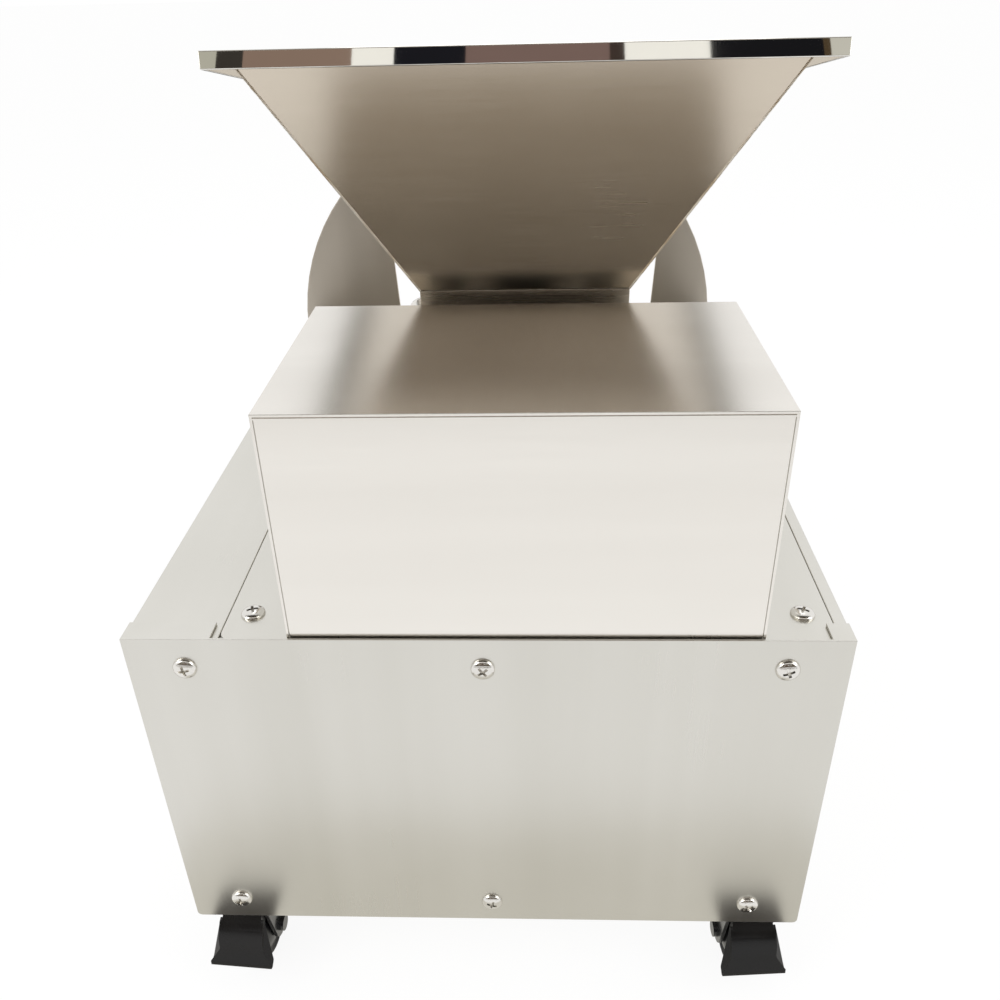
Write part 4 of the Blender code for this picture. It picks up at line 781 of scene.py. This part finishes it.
def screen_tree():
    """Lay a punched cell on every point of a flat sheet, join them, and roll the sheet to a trough."""
    tree = bpy.data.node_groups.new("rolled_screen", "GeometryNodeTree")
    face = tree.interface
    face.new_socket("Geometry", in_out="INPUT", socket_type="NodeSocketGeometry")
    face.new_socket("Cell", in_out="INPUT", socket_type="NodeSocketObject")
    for name in ("Radius", "Axis X", "Axis Z"):
        face.new_socket(name, in_out="INPUT", socket_type="NodeSocketFloat")
    face.new_socket("Material", in_out="INPUT", socket_type="NodeSocketMaterial")
    face.new_socket("Geometry", in_out="OUTPUT", socket_type="NodeSocketGeometry")
    nodes, links = tree.nodes, tree.links

    def reckon(operation, first, second=None):
        node = nodes.new("ShaderNodeMath")
        node.operation = operation
        links.new(first, node.inputs[0])
        if second is not None:
            links.new(second, node.inputs[1])
        return node.outputs[0]

    entry = nodes.new("NodeGroupInput")
    leave = nodes.new("NodeGroupOutput")
    cell = nodes.new("GeometryNodeObjectInfo")
    links.new(entry.outputs["Cell"], cell.inputs["Object"])
    place = nodes.new("GeometryNodeInstanceOnPoints")
    links.new(entry.outputs["Geometry"], place.inputs["Points"])
    links.new(cell.outputs["Geometry"], place.inputs["Instance"])
    real = nodes.new("GeometryNodeRealizeInstances")
    links.new(place.outputs["Instances"], real.inputs["Geometry"])
    join = nodes.new("GeometryNodeMergeByDistance")
    join.inputs["Distance"].default_value = 0.00002
    links.new(real.outputs["Geometry"], join.inputs["Geometry"])
    spot = nodes.new("GeometryNodeInputPosition")
    split = nodes.new("ShaderNodeSeparateXYZ")
    links.new(spot.outputs["Position"], split.inputs["Vector"])
    angle = reckon("DIVIDE", split.outputs["X"], entry.outputs["Radius"])
    reach = reckon("SUBTRACT", entry.outputs["Radius"], split.outputs["Z"])
    across = reckon("ADD", reckon("MULTIPLY", reckon("SINE", angle), reach), entry.outputs["Axis X"])
    up = reckon("SUBTRACT", entry.outputs["Axis Z"], reckon("MULTIPLY", reckon("COSINE", angle), reach))
    rolled = nodes.new("ShaderNodeCombineXYZ")
    links.new(across, rolled.inputs["X"])
    links.new(split.outputs["Y"], rolled.inputs["Y"])
    links.new(up, rolled.inputs["Z"])
    roll_up = nodes.new("GeometryNodeSetPosition")
    links.new(join.outputs["Geometry"], roll_up.inputs["Geometry"])
    links.new(rolled.outputs["Vector"], roll_up.inputs["Position"])
    paint = nodes.new("GeometryNodeSetMaterial")
    links.new(roll_up.outputs["Geometry"], paint.inputs["Geometry"])
    links.new(entry.outputs["Material"], paint.inputs["Material"])
    links.new(paint.outputs["Geometry"], leave.inputs["Geometry"])
    return tree


screen_low, screen_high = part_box("destemming_screen")
for joint in frame["joints"]:
    if joint["name"] == "beater_spin":
        axis_x, axis_z = joint["pos_m"][0], joint["pos_m"][2]
screen_radius = axis_z - screen_low.z
columns = 13
rows = 12
rolled_angle = math.radians(230)
sheet_width = screen_radius * rolled_angle
cell_width = sheet_width / columns
cell_length = (screen_high.y - screen_low.y) / rows
flat_points = [((column + 0.5) * cell_width - sheet_width / 2,
                screen_low.y + (row + 0.5) * cell_length, 0)
               for column in range(columns) for row in range(rows)]
trough = bpy.data.meshes.new("flat_sheet")
trough.from_pydata(flat_points, [], [])
screen_wall = 0.0012
hole_radius = 0.0095
cell = punched_cell(cell_width, cell_length, screen_wall, hole_radius)
screen_steel = stainless("punched_sheet", (1.0, 0.05, 1.0), PALE_STEEL, DULL_STEEL, 0.34)
values = {"Cell": cell, "Radius": screen_radius, "Axis X": axis_x, "Axis Z": axis_z,
          "Material": screen_steel}
screen = grown("destemming_screen_finished", trough, screen_tree(), **values)
bpy.data.objects.remove(cell)
rim_edges = bmesh.new()
rim_edges.from_mesh(screen.data)
bmesh.ops.remove_doubles(rim_edges, verts=rim_edges.verts, dist=0.00002)
open_edges = [edge for edge in rim_edges.edges if edge.is_boundary]
bmesh.ops.bridge_loops(rim_edges, edges=open_edges)
bmesh.ops.recalc_face_normals(rim_edges, faces=rim_edges.faces)
rim_edges.to_mesh(screen.data)
rim_edges.free()
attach(screen, "cabinet")
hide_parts("destemming_screen")

# ---------------------------------------------------------------- beater and its bearings
# A welded stainless shaft with flat arms in a helix. It runs in flanged cast-iron bearings, the
# rear one on a flat bar across the stem outlet.


def grit_group():
    """Fine surface grit and slow colour drift for cast, moulded and painted pieces."""
    group = bpy.data.node_groups.new("surface_grit", "ShaderNodeTree")
    face = group.interface
    for name, default in (("Grit Scale", 900.0), ("Drift Scale", 30.0)):
        socket = face.new_socket(name, in_out="INPUT", socket_type="NodeSocketFloat")
        socket.default_value = default
    for name in ("Grit", "Drift"):
        face.new_socket(name, in_out="OUTPUT", socket_type="NodeSocketFloat")
    nodes, links = group.nodes, group.links
    entry = nodes.new("NodeGroupInput")
    leave = nodes.new("NodeGroupOutput")
    place = nodes.new("ShaderNodeTexCoord")
    for name in ("Grit", "Drift"):
        noise = nodes.new("ShaderNodeTexNoise")
        noise.inputs["Detail"].default_value = 3.0
        links.new(place.outputs["Object"], noise.inputs["Vector"])
        links.new(entry.outputs[name + " Scale"], noise.inputs["Scale"])
        links.new(noise.outputs["Fac"], leave.inputs[name])
    return group


GRIT = grit_group()


def gritty(name, pale, dark, roughness, metallic, bump_strength, grit_scale=900.0, coat=0.0, shine=0.5):
    """A cast, moulded or painted finish, from the grit group."""
    finish = bpy.data.materials.new(name)
    finish.use_nodes = True
    nodes, links = finish.node_tree.nodes, finish.node_tree.links
    shader = nodes["Principled BSDF"]
    shader.inputs["Metallic"].default_value = metallic
    shader.inputs["Coat Weight"].default_value = coat
    shader.inputs["Specular IOR Level"].default_value = shine
    grit = nodes.new("ShaderNodeGroup")
    grit.node_tree = GRIT
    grit.inputs["Grit Scale"].default_value = grit_scale
    links.new(tinted(nodes, links, scaled(nodes, links, grit.outputs["Drift"], 0.0, 1.0), pale, dark),
              shader.inputs["Base Color"])
    links.new(scaled(nodes, links, grit.outputs["Drift"], roughness - 0.05, roughness + 0.07),
              shader.inputs["Roughness"])
    bump = nodes.new("ShaderNodeBump")
    bump.inputs["Strength"].default_value = bump_strength
    bump.inputs["Distance"].default_value = 0.0001
    links.new(grit.outputs["Grit"], bump.inputs["Height"])
    links.new(bump.outputs["Normal"], shader.inputs["Normal"])
    return finish


cast_iron = gritty("cast_iron", (0.20, 0.20, 0.21), (0.11, 0.11, 0.12), 0.52, 0.85, 0.6, 500.0)
rounded_piece("beater", "beater_shaft", crosswise_steel, 0.0005)
rounded_piece("beater_bearing_rear", "cabinet", cast_iron, 0.0005)
rounded_piece("beater_bearing_front", "cabinet", cast_iron, 0.0005)
rounded_piece("bearing_bar", "cabinet", crosswise_steel, 0.0006)

# ---------------------------------------------------------------- rollers
# Two lobed rollers cast in aluminium on steel shafts, running in flanged nylon bushes that are
# pressed into the housing's front and back.

roller_metal = gritty("cast_roller", (0.76, 0.76, 0.75), (0.62, 0.62, 0.61), 0.36, 1.0, 0.25, 700.0)
nylon = gritty("white_nylon", (0.84, 0.83, 0.79), (0.76, 0.75, 0.70), 0.42, 0.0, 0.12)
rounded_piece("crush_roller_left", "left_roller", roller_metal, 0.0012, 3)
rounded_piece("crush_roller_right", "right_roller", roller_metal, 0.0012, 3)
for place in ("front_left", "front_right", "rear_left", "rear_right"):
    rounded_piece("roller_bush_" + place, "cabinet", nylon, 0.0004)

# ---------------------------------------------------------------- drive behind the cover
# Steel gears and sprockets filmed with oil, turned iron pulleys, a rubber belt, a roller chain
# and an enamelled motor. The cover hides them all.

oiled_steel = gritty("oiled_steel", (0.50, 0.50, 0.50), (0.36, 0.35, 0.34), 0.32, 1.0, 0.2, 1200.0)
belt_rubber = gritty("belt_rubber", (0.030, 0.030, 0.030), (0.018, 0.018, 0.018), 0.75, 0.0, 0.5, 1500.0)
enamel = gritty("motor_enamel", (0.09, 0.135, 0.22), (0.06, 0.095, 0.16), 0.36, 0.0, 0.25, 350.0, 0.3)
for node, body in (("roller_gear_left", "left_roller"), ("roller_gear_right", "right_roller"),
                   ("roller_sprocket", "right_roller"), ("beater_sprocket", "beater_shaft"),
                   ("motor_shaft", "motor_rotor")):
    rounded_piece(node, body, oiled_steel, 0.0003)
for node, body in (("beater_pulley", "beater_shaft"), ("motor_pulley", "motor_rotor")):
    rounded_piece(node, body, cast_iron, 0.0004)
rounded_piece("drive_belt", "cabinet", belt_rubber, 0.0006)
rounded_piece("motor_body", "cabinet", enamel, 0.0012)
rounded_piece("roller_chain", "cabinet", oiled_steel, 0.0003)

# ---------------------------------------------------------------- must tray
# A sloping pan folded and welded from sheet under the screen, with a square spout out through the
# right side panel.

rounded_piece("must_tray", "cabinet", lengthwise_steel, 0.0005)

# ---------------------------------------------------------------- switch box
# A moulded black box screwed to the left side panel, with a red rocker that tips in its face and
# a threaded gland under it for the supply cable.

black_plastic = gritty("black_moulding", (0.020, 0.020, 0.021), (0.012, 0.012, 0.013), 0.42, 0.0, 0.45,
                       1400.0)
red_plastic = gritty("red_rocker", (0.52, 0.030, 0.022), (0.42, 0.022, 0.016), 0.24, 0.0, 0.05)
rounded_piece("switch_box", "cabinet", black_plastic, 0.0009, 3)
rounded_piece("rocker_switch", "rocker", red_plastic, 0.0005, 3)
rounded_piece("cable_gland", "cabinet", black_plastic, 0.0004)

# ---------------------------------------------------------------- castors
# Pressed-steel plates and forks in black stove enamel, black nylon wheels on riveted axles, and
# moulded brake pedals on the front pair.

castor_paint = gritty("stove_enamel", (0.016, 0.016, 0.017), (0.008, 0.008, 0.009), 0.22, 0.0, 0.2,
                      420.0, 0.15)
wheel_nylon = gritty("wheel_nylon", (0.018, 0.018, 0.019), (0.010, 0.010, 0.011), 0.28, 0.0, 0.15,
                     800.0, 0.0, 0.35)
pedal_plastic = gritty("pedal_moulding", (0.010, 0.009, 0.009), (0.005, 0.005, 0.005), 0.24, 0.0, 0.12,
                       1100.0, 0.0, 0.30)
for corner in ("front_left", "front_right", "rear_left", "rear_right"):
    rounded_piece("castor_plate_" + corner, "cabinet", castor_paint, 0.0004)
    rounded_piece("castor_fork_" + corner, corner + "_swivel", castor_paint, 0.0007, 3)
    rounded_piece("castor_wheel_" + corner, corner + "_wheel", wheel_nylon, 0.0008, 3)
for side in ("left", "right"):
    rounded_piece("brake_pedal_front_" + side, "front_" + side + "_brake",
                  pedal_plastic, 0.0011, 4)
